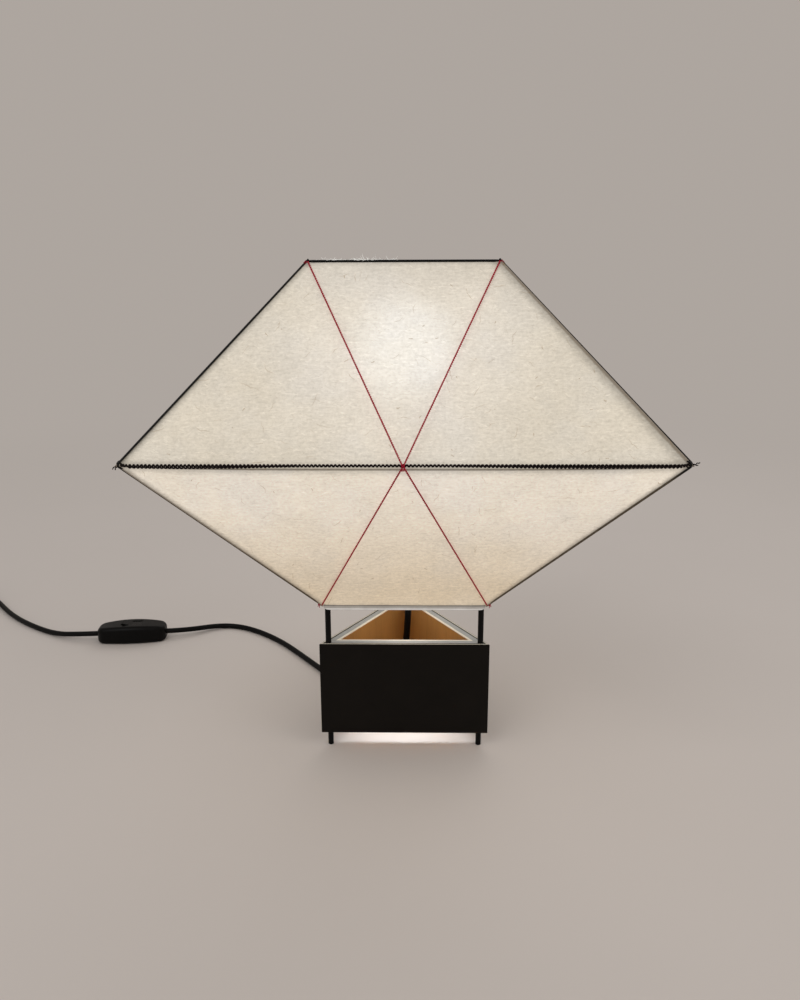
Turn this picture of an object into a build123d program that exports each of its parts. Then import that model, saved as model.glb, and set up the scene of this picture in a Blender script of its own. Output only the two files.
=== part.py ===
from build123d import *
from math import asin, atan2, cos, hypot, pi, radians, sin, sqrt, tan
from typing import NamedTuple
import os

# A three-sided paper table lamp: a triangular timber box on three steel posts, which also
# carry a paper shade shaped like two trapezoid lanterns, one standing on the other.
# Millimetres. The origin is on the lamp's axis at table level, -Y is the front, +Z is up.

# Base box
BASE_SIDE = 150.0
BASE_HEIGHT = 86.6
BASE_LIFT = 13.4
PANEL_THICKNESS = 8.5
PANEL_CHAMFER = 0.5
CLADDING_THICKNESS = 1.5
CLADDING_CHAMFER = 0.3

# Posts
POST_DIAMETER = 5.0
POST_INSET = 9.0            # outer corner of the box to the post's centre
POST_RISE = 1.0             # post's end above the top hoop's centre line, inside its corner
POST_CHAMFER = 0.4
POST_FIT = 0.05

# Shade frame
HOOP_WIRE = 2.2
RIB_WIRE = 1.6
SHADE_BOTTOM = 137.0        # centre line of the bottom hoop
SHADE_TOP = 423.5           # centre line of the top hoop
WAIST_HEIGHT = 277.0        # centre line of the waist cord
WAIST_SIDE = 420.0          # side of the triangle that the paper's crease makes
CREASE_DROP = 1.0           # crease below the waist cord
EYE_RADIUS = 2.5            # centre line of the eye at a rib's elbow
EYE_STEP = 1.4              # each end of the eye beside its middle
TOP_HOOP_SPREAD = 1.9       # top hoop's sides beyond the bottom hoop's
RIB_OVERRUN = 0.2           # rib's tip past the hoop's corner
RIB_FIT = 0.05              # rib's tip to the hoop
SEAT_GAP = 0.2

# Paper and strings
PAPER_THICKNESS = 0.4
PAPER_EDGE_GAP = 0.8        # paper to rib
PAPER_HOOP_GAP = 0.15
HEM_DEPTH = 5.0
HEM_BELOW_HOOP = 4.6
HEM_THICKNESS = 0.5
HEM_END_GAP = 3.5           # hem's end to the hoop's outermost point
HEM_TAPER = 1.6             # rise of the hem's lower edge at its ends
HEM_TAPER_RUN = 5.0
WAIST_CORD = 2.3
WAIST_STANDOFF = 2.8        # waist cord's centre line in front of the crease
WAIST_BEND = 8.0
THREAD = 1.0
THREAD_GAP = 0.2
THREAD_SPACING = 2.4        # between the two threads at the knot
THREAD_BEND = 1.5
THREAD_END = 3.6            # thread's end beside the rib, across the face
TIE_SETBACK = 4.4           # corner tie from the rib's tip

# Bracket that carries the lamp holder on the posts
BRACKET_HEIGHT = 266.0
BRACKET_THICKNESS = 2.0
BRACKET_ARM = 9.0
BRACKET_EYE = 13.0
COLLAR_DIAMETER = 11.0
COLLAR_LENGTH = 6.0
SET_SCREW = 3.0

# Lamp holder, measured from the bracket's upper face
HOLDER_RADIUS = 19.8
HOLDER_WALL = 2.2
HOLDER_BELOW = 12.0
MOUTH_GAP = 1.0             # holder's mouth to the bulb's neck
FLANGE_REACH = 4.7
FLANGE_THICKNESS = 3.0
RIM_THICKNESS = 2.0
INSULATOR_BELOW = 6.0
INSULATOR_ABOVE = 12.0
CONTACT_HEAD = 3.2
CONTACT_RISE = 2.0          # bulb's tip above the floor of the insulator's well
CONTACT_CROWN = 0.5
CAP_DEPTH = 22.0
CAP_SKIRT = 11.0            # straight part of the cap's wall
CAP_FACE = 12.0             # radius of the flat under the cap
GRIP_LENGTH = 26.0
GRIP_RADIUS = 5.0
GRIP_WALL = 1.2             # sleeve's wall at its tip
GRIP_COLLAR = 2.0           # collar's reach beyond the sleeve
GRIP_ABOVE = 4.0            # collar's top above the cap's underside
CLAMP_RING_LENGTH = 6.0
CLAMP_RING_WALL = 5.0
CLAMP_RING_CHAMFER = 1.0
PIECE_GAP = 0.2

# Bulb with an E27 cap
BULB_RADIUS = 30.0
BULB_TIP_TO_CENTRE = 74.0
BULB_NECK = 13.2
BULB_SHOULDER = 35.0        # radius of the hollow between globe and neck
GLASS_WALL = 1.2
SCREW_RADIUS = 13.1
SCREW_LENGTH = 22.5
SCREW_WALL = 0.4
SCREW_GAP = 0.3
SLEEVE_GAP = 0.5            # bulb's shell to the sleeve's top, and the sleeve to the holder's rim
SHELL_TAPER = 2.1           # how far the shell narrows towards its tip
SHELL_FLARE = 3.5
SHELL_LIP = 0.5
TIP_LENGTH = 4.5            # bulb's tip below its shell
TIP_RADIUS = 4.6
TIP_FACE = 3.0
TIP_HEIGHT = 1.6
TIP_ABOVE_SEAT = 8.0

# Mains lead
LEAD = 6.0
FLOOR_GAP = 0.1
ARC_SHARE = 0.45            # share of the shorter run that an arc takes up
GRIP_RUN = 24.0             # straight runs out of the grip, the switch and the coil
SWITCH_RUN = 22.0
COIL_RUN = 36.0

# In-line switch
SWITCH_LENGTH = 79.0
SWITCH_WIDTH = 32.0
SWITCH_END_WIDTH = 23.0
SWITCH_LOWER = 8.9
SWITCH_UPPER = 12.0
SWITCH_CROWN = 3.0          # fall of its top from the middle to the ends
SWITCH_CORNER = 10.0
SWITCH_LOWER_ROUNDING = 4.0
SWITCH_UPPER_ROUNDING = 5.5
SWITCH_CENTRE = (-327.0, 190.0)
SWITCH_HEADING = 186.0
ROCKER_LENGTH = 22.0
ROCKER_WIDTH = 12.4
ROCKER_DEPTH = 2.2          # rocker's underside below its pivot
ROCKER_DIP = 4.4            # middle and tips of its top above the pivot
ROCKER_TIPS = 5.6
ROCKER_TAPER = 1.5
ROCKER_END_GAP = 1.0
ROCKER_PIVOT = 7.0          # pivot above the parting line
ROCKER_SWING = 14.0
ROCKER_GAP = 0.3
PIVOT_PIN = 2.0
PIVOT_LENGTH = 21.6
PIVOT_FIT = 0.05
SWITCH_SCREW_SPACING = 52.0
SWITCH_SCREW = 2.8
SWITCH_SCREW_HEAD = 5.2
SWITCH_SCREW_HEAD_LENGTH = 2.0
SWITCH_SCREW_SINK = 1.2     # head's underside above the floor side of the case
SWITCH_SCREW_DEPTH = 6.5    # screw's hole above the parting line

# Coil of the put-away lead, and its tie
COIL_MEAN = 66.0
COIL_TURNS = 5 + 132 / 360
COIL_PITCH = 6.6
COIL_HEADING = 138.0
COIL_START = (-584.4, 337.1)
COIL_TAIL = 12.0
TIE_THICKNESS = 0.7
TIE_WIDTH = 8.0
TIE_GAP = 0.6
TIE_ANGLE = 115.0
STATIONS_PER_TURN = 4

# Plug with two round pins
PLUG_LENGTH = 36.0
PLUG_WIDTH = 35.0
PLUG_REAR = 11.0
PLUG_SHOULDER = 14.0        # where the body has swollen to most of its size
PLUG_FULL = 24.0            # where it reaches its full size
PLUG_SHOULDER_WIDTH = 24.5
PLUG_SHOULDER_SHARE = 0.8   # shoulder's height as a share of the full height
PLUG_ROUNDING = 0.47        # corner radius as a share of the height
RELIEF_LENGTH = 30.0
RELIEF_RIBS = 5
RELIEF_WALL = 1.0
RELIEF_GROOVE = 0.8
GROOVE_SHARE = 0.3          # groove's width as a share of the rings' spacing
PIN_DIAMETER = 4.8
PIN_LENGTH = 19.0
PIN_SPACING = 19.0
PIN_ROOT = 8.0
PIN_ROUNDING = 1.7
PIN_FIT = 0.02

# Faces are modelled at the front and corners on +X, and are then turned into place.
FACES = {"front": 0, "right": 120, "left": 240}
CORNERS = {"left": 210, "right": 330, "back": 90}

# Places that follow from the sizes above
box_inradius = BASE_SIDE / (2 * sqrt(3))
post_circle = BASE_SIDE / sqrt(3) - POST_INSET
post_radius = POST_DIAMETER / 2
hoop_corner = post_radius + POST_FIT + HOOP_WIRE / 2
hoop_inradius = post_circle / 2 + hoop_corner
crease_inradius = WAIST_SIDE / (2 * sqrt(3))
crease_height = WAIST_HEIGHT - CREASE_DROP
cord_inradius = crease_inradius + WAIST_STANDOFF
eye_sag = WAIST_BEND - sqrt(WAIST_BEND**2 - (EYE_STEP + RIB_WIRE / 2) ** 2)
eye_circle = 2 * cord_inradius - WAIST_BEND - eye_sag / 2
seat = BRACKET_HEIGHT + BRACKET_THICKNESS
bulb_tip = seat + TIP_ABOVE_SEAT
bulb_centre = bulb_tip + BULB_TIP_TO_CENTRE
screw_bottom = bulb_tip + TIP_LENGTH
screw_top = screw_bottom + SCREW_LENGTH
sleeve_top = screw_top + SLEEVE_GAP
shell_foot = SCREW_RADIUS - SHELL_TAPER
well_floor = bulb_tip - CONTACT_RISE
holder_bottom = seat - HOLDER_BELOW
holder_top = sleeve_top + SLEEVE_GAP + RIM_THICKNESS
cap_bottom = holder_bottom - CAP_DEPTH
grip_bottom = cap_bottom + GRIP_ABOVE - GRIP_LENGTH
lead_height = LEAD / 2 + FLOOR_GAP
parting_line = FLOOR_GAP + SWITCH_LOWER
pivot_height = parting_line + ROCKER_PIVOT
coil_low = FLOOR_GAP + TIE_THICKNESS + TIE_GAP + LEAD / 2
coil_high = coil_low + COIL_PITCH
upright = (Align.CENTER, Align.CENTER, Align.MIN)


class Half(NamedTuple):
    """Half of the shade: its hoop's inradius and height, and 1 above the waist or -1 below it."""

    inradius: float
    height: float
    side: int


upper_half = Half(hoop_inradius + TOP_HOOP_SPREAD, SHADE_TOP, 1)
lower_half = Half(hoop_inradius, SHADE_BOTTOM, -1)


def tube(path, diameter):
    """A round bar along a path."""
    start = Plane(origin=path @ 0, z_dir=path % 0)
    return sweep(start * Circle(diameter / 2), path=path)


def turned(profile_points):
    """A solid of revolution about the lamp's axis, from (radius, height) points."""
    outline = Polyline(*[(r, 0, z) for r, z in profile_points], close=True)
    return revolve(make_face(outline), axis=Axis.Z)


def biarc(start, start_way, end, end_way):
    """Two tangent arcs from one point and direction to another."""
    span = end - start
    reach = span.dot(start_way + end_way)
    spread = 2 * (1 - start_way.dot(end_way))
    handle = (sqrt(reach**2 + spread * span.dot(span)) - reach) / spread
    first = start + start_way * handle
    last = end - end_way * handle
    middle = (first + last) * 0.5
    return [
        Edge.make_tangent_arc(start, start_way, middle),
        Edge.make_tangent_arc(middle, last - first, end),
    ]


def turns_through(stations):
    """Biarcs through a list of (point, direction) stations."""
    edges = []
    for (start, start_way), (end, end_way) in zip(stations, stations[1:]):
        edges += biarc(start, start_way, end, end_way)
    return edges


def least_gap(path, diameter, samples):
    """The narrowest gap between stretches of a wound bar that aren't next to each other."""
    step = path.length / samples
    apart = int(2 * diameter / step) + 1
    points = [path @ (i / samples) for i in range(samples + 1)]
    nearest = min(
        (points[i] - points[j]).length
        for i in range(len(points))
        for j in range(i + apart, len(points))
    )
    return nearest - diameter


def mitred_strip(inner, outer):
    """Plan of one of three strips that meet on the corners' bisectors, at the front."""
    flare = sqrt(3)
    return make_face(
        Polyline(
            (-flare * inner, -inner),
            (flare * inner, -inner),
            (flare * outer, -outer),
            (-flare * outer, -outer),
            close=True,
        )
    )


def post():
    rod = Cylinder(post_radius, SHADE_TOP + POST_RISE, align=upright)
    rod = chamfer(rod.edges().filter_by(GeomType.CIRCLE), POST_CHAMFER)
    return Pos(post_circle, 0, 0) * rod


def base_panel():
    """Timber panel with mitred ends, each with half of the groove that holds a post."""
    outer = box_inradius - CLADDING_THICKNESS
    panel = extrude(mitred_strip(outer - PANEL_THICKNESS, outer), BASE_HEIGHT)
    top_outer_edge = panel.edges().group_by(Axis.Z)[-1].sort_by(Axis.Y)[0]
    panel = Pos(0, 0, BASE_LIFT) * chamfer(top_outer_edge, PANEL_CHAMFER)
    bore = Cylinder(post_radius + POST_FIT, 4 * BASE_HEIGHT)
    for side in ("left", "right"):
        panel -= Rot(0, 0, CORNERS[side]) * Pos(post_circle, 0, 0) * bore
    return panel


def base_cladding():
    """Thin black sheet on the outside of a panel, with its long edges eased."""
    sheet = extrude(mitred_strip(box_inradius - CLADDING_THICKNESS, box_inradius), BASE_HEIGHT)
    outer_edges = sheet.edges().filter_by(Axis.X).group_by(Axis.Y)[0]
    return Pos(0, 0, BASE_LIFT) * chamfer(outer_edges, CLADDING_CHAMFER)


def wire_triangle(inradius, corner_radius, height, diameter):
    """Closed three-sided ring of round bar with rounded corners."""
    corners = [
        (2 * inradius * cos(radians(a)), 2 * inradius * sin(radians(a)), height)
        for a in CORNERS.values()
    ]
    return tube(FilletPolyline(*corners, radius=corner_radius, close=True), diameter)


def rib_tip(half):
    """Distance from the axis and height of a rib's tip, beside its hoop's corner."""
    corner_r = 2 * half.inradius - hoop_corner
    way_r, way_z = eye_circle - corner_r, WAIST_HEIGHT - half.height
    length = hypot(way_r, way_z)
    way_r, way_z = way_r / length, way_z / length
    standoff = HOOP_WIRE / 2 + RIB_WIRE / 2 + RIB_FIT
    tip_r = corner_r - half.side * way_z * standoff - way_r * RIB_OVERRUN
    tip_z = half.height + half.side * way_r * standoff - way_z * RIB_OVERRUN
    return tip_r, tip_z


def rib_leg(half):
    """Tip of a leg, the point where it runs into the eye, and its bearing there in radians."""
    tip_r, tip_z = rib_tip(half)
    rise, run = WAIST_HEIGHT - tip_z, eye_circle - tip_r
    reach = hypot(rise, run)
    bearing = atan2(rise, run) + half.side * asin(EYE_RADIUS / reach)
    length = sqrt(reach**2 - EYE_RADIUS**2)
    touch = Vector(
        tip_r + length * cos(bearing), half.side * EYE_STEP, tip_z + length * sin(bearing)
    )
    return Vector(tip_r, 0, tip_z), touch, bearing


upper_tip, upper_touch, upper_bearing = rib_leg(upper_half)
lower_tip, lower_touch, lower_bearing = rib_leg(lower_half)


def rib():
    """Bent wire from the top hoop to the bottom one, wound once round into an eye at its elbow."""
    first_angle = upper_bearing + pi / 2
    last_angle = lower_bearing - pi / 2 - 2 * pi
    sweep_angle = first_angle - last_angle
    quarters = round(sweep_angle / (pi / 2))
    drift = -2 * EYE_STEP / (EYE_RADIUS * sweep_angle)
    stations = [(upper_touch, (upper_touch - upper_tip).normalized())]
    for i in range(1, quarters):
        angle = first_angle - sweep_angle * i / quarters
        point = Vector(
            eye_circle + EYE_RADIUS * cos(angle),
            EYE_STEP * (1 - 2 * i / quarters),
            WAIST_HEIGHT + EYE_RADIUS * sin(angle),
        )
        stations.append((point, Vector(sin(angle), drift, -cos(angle)).normalized()))
    stations.append((lower_touch, (lower_tip - lower_touch).normalized()))
    legs = [Edge.make_line(upper_tip, upper_touch), Edge.make_line(lower_touch, lower_tip)]
    path = Wire([legs[0]] + turns_through(stations) + [legs[1]])
    eye = Wire(turns_through(stations))
    print(f"rib eye: least gap to itself {least_gap(eye, RIB_WIRE, 160):.2f} mm")
    return tube(path, RIB_WIRE)


def rib_place(tip, touch):
    """Plane on a rib's leg at its tie, looking along the leg."""
    way = (touch - tip).normalized()
    return Plane(origin=tip + way * TIE_SETBACK, z_dir=way)


def corner_tie(tip, touch):
    """Turn of thread round a rib, close to its hoop."""
    return rib_place(tip, touch) * Torus(RIB_WIRE / 2 + THREAD_GAP + THREAD / 2, THREAD / 2)


def face_slope(half):
    """Length of the front paper from a hoop to the crease, and its way there."""
    way = Vector(0, half.inradius - crease_inradius, crease_height - half.height)
    return way.length, way.normalized()


def paper(half, tip, touch):
    """Flat trapezoid of paper between a hoop and the crease, clear of ribs, ties and eyes."""
    length, way = face_slope(half)
    hoop_half = half.inradius * sqrt(3)
    flare = (crease_inradius - half.inradius) * sqrt(3) / length
    side_trim = (RIB_WIRE / 2 + PAPER_EDGE_GAP) * sqrt(1 + flare**2)
    near = HOOP_WIRE / 2 + PAPER_HOOP_GAP
    far = length - PAPER_THICKNESS
    near_half = hoop_half + flare * near - side_trim
    far_half = hoop_half + flare * far - side_trim
    outline = Polyline(
        (-near_half, near), (near_half, near), (far_half, far), (-far_half, far), close=True
    )
    plane = Plane(
        origin=(0, -half.inradius, half.height), x_dir=(1, 0, 0), z_dir=Vector(1, 0, 0).cross(way)
    )
    sheet = extrude(plane * make_face(outline), PAPER_THICKNESS / 2, both=True)
    eye_room = Pos(eye_circle, 0, WAIST_HEIGHT) * Rot(90, 0, 0) * Cylinder(
        EYE_RADIUS + RIB_WIRE / 2 + 2 * SEAT_GAP, 2 * WAIST_BEND
    )
    tie_room = rib_place(tip, touch) * Cylinder(
        RIB_WIRE / 2 + THREAD_GAP + THREAD + SEAT_GAP, THREAD + 3 * SEAT_GAP
    )
    for side in ("left", "right"):
        sheet -= Rot(0, 0, CORNERS[side]) * eye_room
        sheet -= Rot(0, 0, CORNERS[side]) * tie_room
    return sheet


def hem():
    """Strip that closes the paper's lower edge in front of the bottom hoop."""
    half = hoop_inradius * sqrt(3) - HEM_END_GAP
    low, high = -HEM_BELOW_HOOP, HEM_DEPTH - HEM_BELOW_HOOP
    outline = Polyline(
        (-half, high),
        (half, high),
        (half, low + HEM_TAPER),
        (half - HEM_TAPER_RUN, low),
        (-half + HEM_TAPER_RUN, low),
        (-half, low + HEM_TAPER),
        close=True,
    )
    face_y = -(hoop_inradius + HOOP_WIRE / 2 + POST_FIT)
    plane = Plane(origin=(0, face_y, SHADE_BOTTOM), x_dir=(1, 0, 0), z_dir=(0, -1, 0))
    return extrude(plane * make_face(outline), HEM_THICKNESS)


def thread_end(half, tip, touch, side):
    """Where a thread leaves its corner tie on the front face."""
    way = face_slope(half)[1]
    outward = Vector(0, way.Z, -way.Y)
    outward = outward if outward.Y < 0 else outward * -1
    corner = (Rot(0, 0, CORNERS[side]) * Pos(*rib_place(tip, touch).origin)).position
    inward = THREAD_END if side == "left" else -THREAD_END
    lift = PAPER_THICKNESS / 2 + 2 * THREAD_GAP + THREAD / 2
    return corner + Vector(inward, 0, 0) + outward * lift


def red_threads():
    """Two threads on the front face, drawn together over the waist cord."""
    front_y = -(cord_inradius + WAIST_CORD / 2 + THREAD_GAP + THREAD / 2)
    threads = []
    for side, x in (("left", -THREAD_SPACING / 2), ("right", THREAD_SPACING / 2)):
        path = FilletPolyline(
            thread_end(upper_half, upper_tip, upper_touch, side),
            (x, front_y, WAIST_HEIGHT + 2 * THREAD),
            (x, front_y, WAIST_HEIGHT - 2 * THREAD),
            thread_end(lower_half, lower_tip, lower_touch, side),
            radius=THREAD_BEND,
        )
        threads.append(tube(path, THREAD))
    return Compound(children=threads)


def waist_knot():
    """Turn of thread round the waist cord, between the two threads of the front face."""
    ring = Torus(WAIST_CORD / 2 + THREAD_GAP + THREAD / 2, THREAD / 2)
    return Pos(0, -cord_inradius, WAIST_HEIGHT) * Rot(0, 90, 0) * ring


def on_each_corner(shape):
    """One group of separate solids, one on each corner."""
    return Compound(children=[Rot(0, 0, a) * shape for a in CORNERS.values()])


def on_each_face(shape):
    return Compound(children=[Rot(0, 0, a) * shape for a in FACES.values()])


def holder_bracket():
    """Flat plate with three arms, bored for the posts and the lamp holder."""
    plan = Circle(HOLDER_RADIUS + FLANGE_REACH)
    for azimuth in CORNERS.values():
        arm = Pos(post_circle / 2, 0) * Rectangle(post_circle, BRACKET_ARM)
        eye = Pos(post_circle, 0) * Circle(BRACKET_EYE / 2)
        plan += Rot(0, 0, azimuth) * (arm + eye)
    plan -= Circle(HOLDER_RADIUS + PIECE_GAP)
    for azimuth in CORNERS.values():
        plan -= Rot(0, 0, azimuth) * Pos(post_circle, 0) * Circle(post_radius + POST_FIT)
    return Pos(0, 0, BRACKET_HEIGHT) * extrude(plan, BRACKET_THICKNESS)


def collar_and_screw():
    """Ring under the bracket's eye, and the headless screw that locks it on its post."""
    bore = post_radius + POST_FIT
    centre = Vector(post_circle, 0, BRACKET_HEIGHT - COLLAR_LENGTH / 2)
    ring = Pos(centre) * (Cylinder(COLLAR_DIAMETER / 2, COLLAR_LENGTH) - Cylinder(bore, COLLAR_LENGTH))
    ring -= Pos(centre) * Rot(0, 90, 0) * Cylinder(SET_SCREW / 2, COLLAR_DIAMETER, align=upright)
    screw = Cylinder(SET_SCREW / 2 - POST_FIT, COLLAR_DIAMETER / 2 - bore, align=upright)
    return ring, Pos(centre + Vector(bore, 0, 0)) * Rot(0, 90, 0) * screw


def holder_body():
    """Upper shell: it passes through the bracket and rests on it by a flange."""
    bore = HOLDER_RADIUS - HOLDER_WALL
    top = holder_top
    mouth = BULB_NECK + MOUTH_GAP
    step = bore - HOLDER_WALL
    return turned([
        (step, holder_bottom), (HOLDER_RADIUS, holder_bottom), (HOLDER_RADIUS, seat),
        (HOLDER_RADIUS + FLANGE_REACH, seat), (HOLDER_RADIUS + FLANGE_REACH, seat + FLANGE_THICKNESS),
        (HOLDER_RADIUS, seat + FLANGE_THICKNESS), (HOLDER_RADIUS, top - RIM_THICKNESS),
        (HOLDER_RADIUS - RIM_THICKNESS / 2, top), (mouth, top), (mouth, top - RIM_THICKNESS),
        (bore, top - RIM_THICKNESS), (bore, seat - INSULATOR_BELOW), (step, seat - INSULATOR_BELOW),
    ])


def holder_cap():
    """Domed lower shell with the hole for the cord grip."""
    inner = HOLDER_RADIUS - HOLDER_WALL
    hole = GRIP_RADIUS + PIECE_GAP
    bend = holder_bottom - CAP_SKIRT
    outline = [
        Line((HOLDER_RADIUS, 0, holder_bottom), (HOLDER_RADIUS, 0, bend)),
        TangentArc((HOLDER_RADIUS, 0, bend), (CAP_FACE, 0, cap_bottom), tangent=(0, 0, -1)),
        Polyline(
            (CAP_FACE, 0, cap_bottom), (hole, 0, cap_bottom), (hole, 0, cap_bottom + HOLDER_WALL),
            (CAP_FACE - HOLDER_WALL / 2, 0, cap_bottom + HOLDER_WALL), (inner, 0, bend),
            (inner, 0, holder_bottom), (HOLDER_RADIUS, 0, holder_bottom),
        ),
    ]
    return revolve(make_face(outline), axis=Axis.Z)


def cord_grip():
    """Tapered sleeve in the cap's hole, with a collar inside the cap."""
    collar = GRIP_RADIUS + GRIP_COLLAR
    collar_bottom = cap_bottom + HOLDER_WALL + PIECE_GAP / 2
    collar_top = cap_bottom + GRIP_ABOVE
    return turned([
        (0, grip_bottom), (LEAD / 2 + GRIP_WALL, grip_bottom), (GRIP_RADIUS, cap_bottom),
        (GRIP_RADIUS, collar_bottom), (collar, collar_bottom), (collar, collar_top), (0, collar_top),
    ])


def clamp_ring():
    """Threaded ring that draws the holder's flange down on the bracket."""
    inner = HOLDER_RADIUS + PIECE_GAP
    outer = inner + CLAMP_RING_WALL
    top, bottom = BRACKET_HEIGHT, BRACKET_HEIGHT - CLAMP_RING_LENGTH
    return turned([
        (inner, bottom), (outer - CLAMP_RING_CHAMFER, bottom), (outer, bottom + CLAMP_RING_CHAMFER),
        (outer, top), (inner, top),
    ])


def holder_insulator():
    """Ceramic block in the holder, with a well for the bulb's tip and a hole for the contact."""
    outer = HOLDER_RADIUS - HOLDER_WALL - PIECE_GAP
    bottom, top = seat - INSULATOR_BELOW, seat + INSULATOR_ABOVE
    well = shell_foot + PIECE_GAP
    hole = CONTACT_HEAD / 2 + POST_FIT
    return turned([
        (hole, bottom), (outer, bottom), (outer, top), (well, top), (well, well_floor), (hole, well_floor)
    ])


def thread_sleeve():
    """Brass shell that the bulb screws into."""
    inner = SCREW_RADIUS + SCREW_GAP
    outer = inner + SCREW_WALL
    bottom = seat + INSULATOR_ABOVE
    return turned([(inner, bottom), (outer, bottom), (outer, sleeve_top), (inner, sleeve_top)])


def centre_contact():
    """Brass rivet under the bulb's tip."""
    bottom, top = seat - INSULATOR_BELOW, bulb_tip - SCREW_GAP
    return turned([
        (0, bottom), (CONTACT_HEAD / 2, bottom), (CONTACT_HEAD / 2, well_floor),
        (CONTACT_HEAD, well_floor), (CONTACT_HEAD, top - CONTACT_CROWN), (0, top),
    ])


def bulb_envelope(globe, neck, shoulder, bottom):
    """Half section of a globe that runs down into a neck, from the axis out."""
    shoulder_r = neck + shoulder
    shoulder_z = bulb_centre - sqrt((globe + shoulder) ** 2 - shoulder_r**2)
    share = globe / (globe + shoulder)
    meet = (shoulder_r * share, 0, bulb_centre + (shoulder_z - bulb_centre) * share)
    return [
        Line((0, 0, bottom), (0, 0, bulb_centre + globe)),
        ThreePointArc((0, 0, bulb_centre + globe), (globe, 0, bulb_centre), meet),
        ThreePointArc(
            meet,
            (shoulder_r - shoulder * sin(radians(75)), 0, shoulder_z + shoulder * cos(radians(75))),
            (neck, 0, shoulder_z),
        ),
        Polyline((neck, 0, shoulder_z), (neck, 0, bottom), (0, 0, bottom)),
    ]


def bulb_glass():
    """Opal envelope, open at its neck, where it stands on the screw shell."""
    outer = bulb_envelope(BULB_RADIUS, BULB_NECK, BULB_SHOULDER, screw_top)
    hollow = bulb_envelope(
        BULB_RADIUS - GLASS_WALL, BULB_NECK - GLASS_WALL, BULB_SHOULDER + GLASS_WALL, screw_top - GLASS_WALL
    )
    return revolve(make_face(outer), axis=Axis.Z) - revolve(make_face(hollow), axis=Axis.Z)


def bulb_cap():
    """Screw shell that narrows to its insulator."""
    inner = SCREW_RADIUS - SCREW_WALL
    flare = screw_bottom + SHELL_FLARE
    return turned([
        (shell_foot - SHELL_LIP, screw_bottom), (shell_foot, screw_bottom), (SCREW_RADIUS, flare),
        (SCREW_RADIUS, screw_top), (inner, screw_top), (inner, flare + SHELL_LIP),
        (shell_foot - SHELL_LIP, screw_bottom + SHELL_LIP),
    ])


def bulb_insulator():
    """Dark glass between the screw shell and the tip."""
    foot = shell_foot - SHELL_LIP
    bottom, top = bulb_tip + TIP_HEIGHT, screw_bottom + SHELL_LIP
    shoulder = TIP_RADIUS + SHELL_LIP
    return turned([(0, bottom), (shoulder, bottom), (foot, screw_bottom), (foot, top), (0, top)])


def bulb_contact():
    """Soldered tip."""
    edge, top = bulb_tip + TIP_HEIGHT / 2, bulb_tip + TIP_HEIGHT
    return turned([(0, bulb_tip), (TIP_FACE, bulb_tip), (TIP_RADIUS, edge), (TIP_RADIUS, top), (0, top)])


def switch_end(side):
    """Middle of one of the switch's end faces, with side 1 where the plug's lead leaves."""
    reach = side * SWITCH_LENGTH / 2
    heading = radians(SWITCH_HEADING)
    return (
        SWITCH_CENTRE[0] + reach * cos(heading), SWITCH_CENTRE[1] + reach * sin(heading), parting_line
    )


def beyond(point, heading, distance):
    """A point at the same height, so far along a heading in degrees."""
    x, y, z = point
    return (x + distance * cos(radians(heading)), y + distance * sin(radians(heading)), z)


def lead_tube(name, points):
    """A lead along a route, with each corner as round as its two runs allow."""
    route = [Vector(*p) for p in points]
    radii = []
    for before, here, after in zip(route, route[1:], route[2:]):
        turn = radians((here - before).get_angle(after - here))
        shorter = min((here - before).length, (after - here).length)
        radii.append(ARC_SHARE * shorter / tan(turn / 2))
    path = FilletPolyline(*route, radius=radii)
    solid = tube(path, LEAD)
    share = solid.volume / (pi * LEAD**2 / 4 * path.length)
    print(f"{name}: length {path.length:.0f} mm, volume {share:.4f} of section times length")
    print(f"{name}: radii", " ".join(f"{r:.0f}" for r in radii))
    return solid


def lamp_lead():
    """From the lamp holder down through the open box, under its back edge and to the switch."""
    arrival = switch_end(-1)
    route = [
        (0, 0, grip_bottom), (0, 0, grip_bottom - GRIP_RUN), (2.2, -2.0, 160), (4.0, -3.8, 130),
        (2.2, -2.0, 96), (-0.6, 0.5, 60), (-2.0, 1.9, 31.2), (-6.6, 6.1, 18.2), (-14.3, 13.4, 8.4),
        (-24.1, 22.5, lead_height), (-44.5, 42.0, lead_height), (-72, 77.5, lead_height),
        (-108, 127, lead_height), (-149, 181, lead_height), (-193, 218, lead_height),
        (-228, 227, lead_height), beyond(arrival, SWITCH_HEADING, -SWITCH_RUN), arrival,
    ]
    return lead_tube("lamp lead", route)


coil_entry = beyond((*COIL_START, coil_low), COIL_HEADING, -LEAD)


def plug_lead():
    """From the switch to the coil."""
    departure = switch_end(1)
    route = [
        departure, beyond(departure, SWITCH_HEADING, SWITCH_RUN), (-424, 197, lead_height),
        (-466, 223, lead_height), (-508, 258, lead_height),
        beyond(coil_entry, COIL_HEADING, -COIL_RUN), coil_entry,
    ]
    return lead_tube("plug lead", route)


coil_sweep = 2 * pi * COIL_TURNS
coil_inner = COIL_MEAN / 2 - COIL_PITCH * COIL_TURNS / 4
coil_outer = COIL_MEAN / 2 + COIL_PITCH * COIL_TURNS / 4
coil_centre = beyond((*COIL_START, 0), COIL_HEADING + 90, coil_outer)


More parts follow.
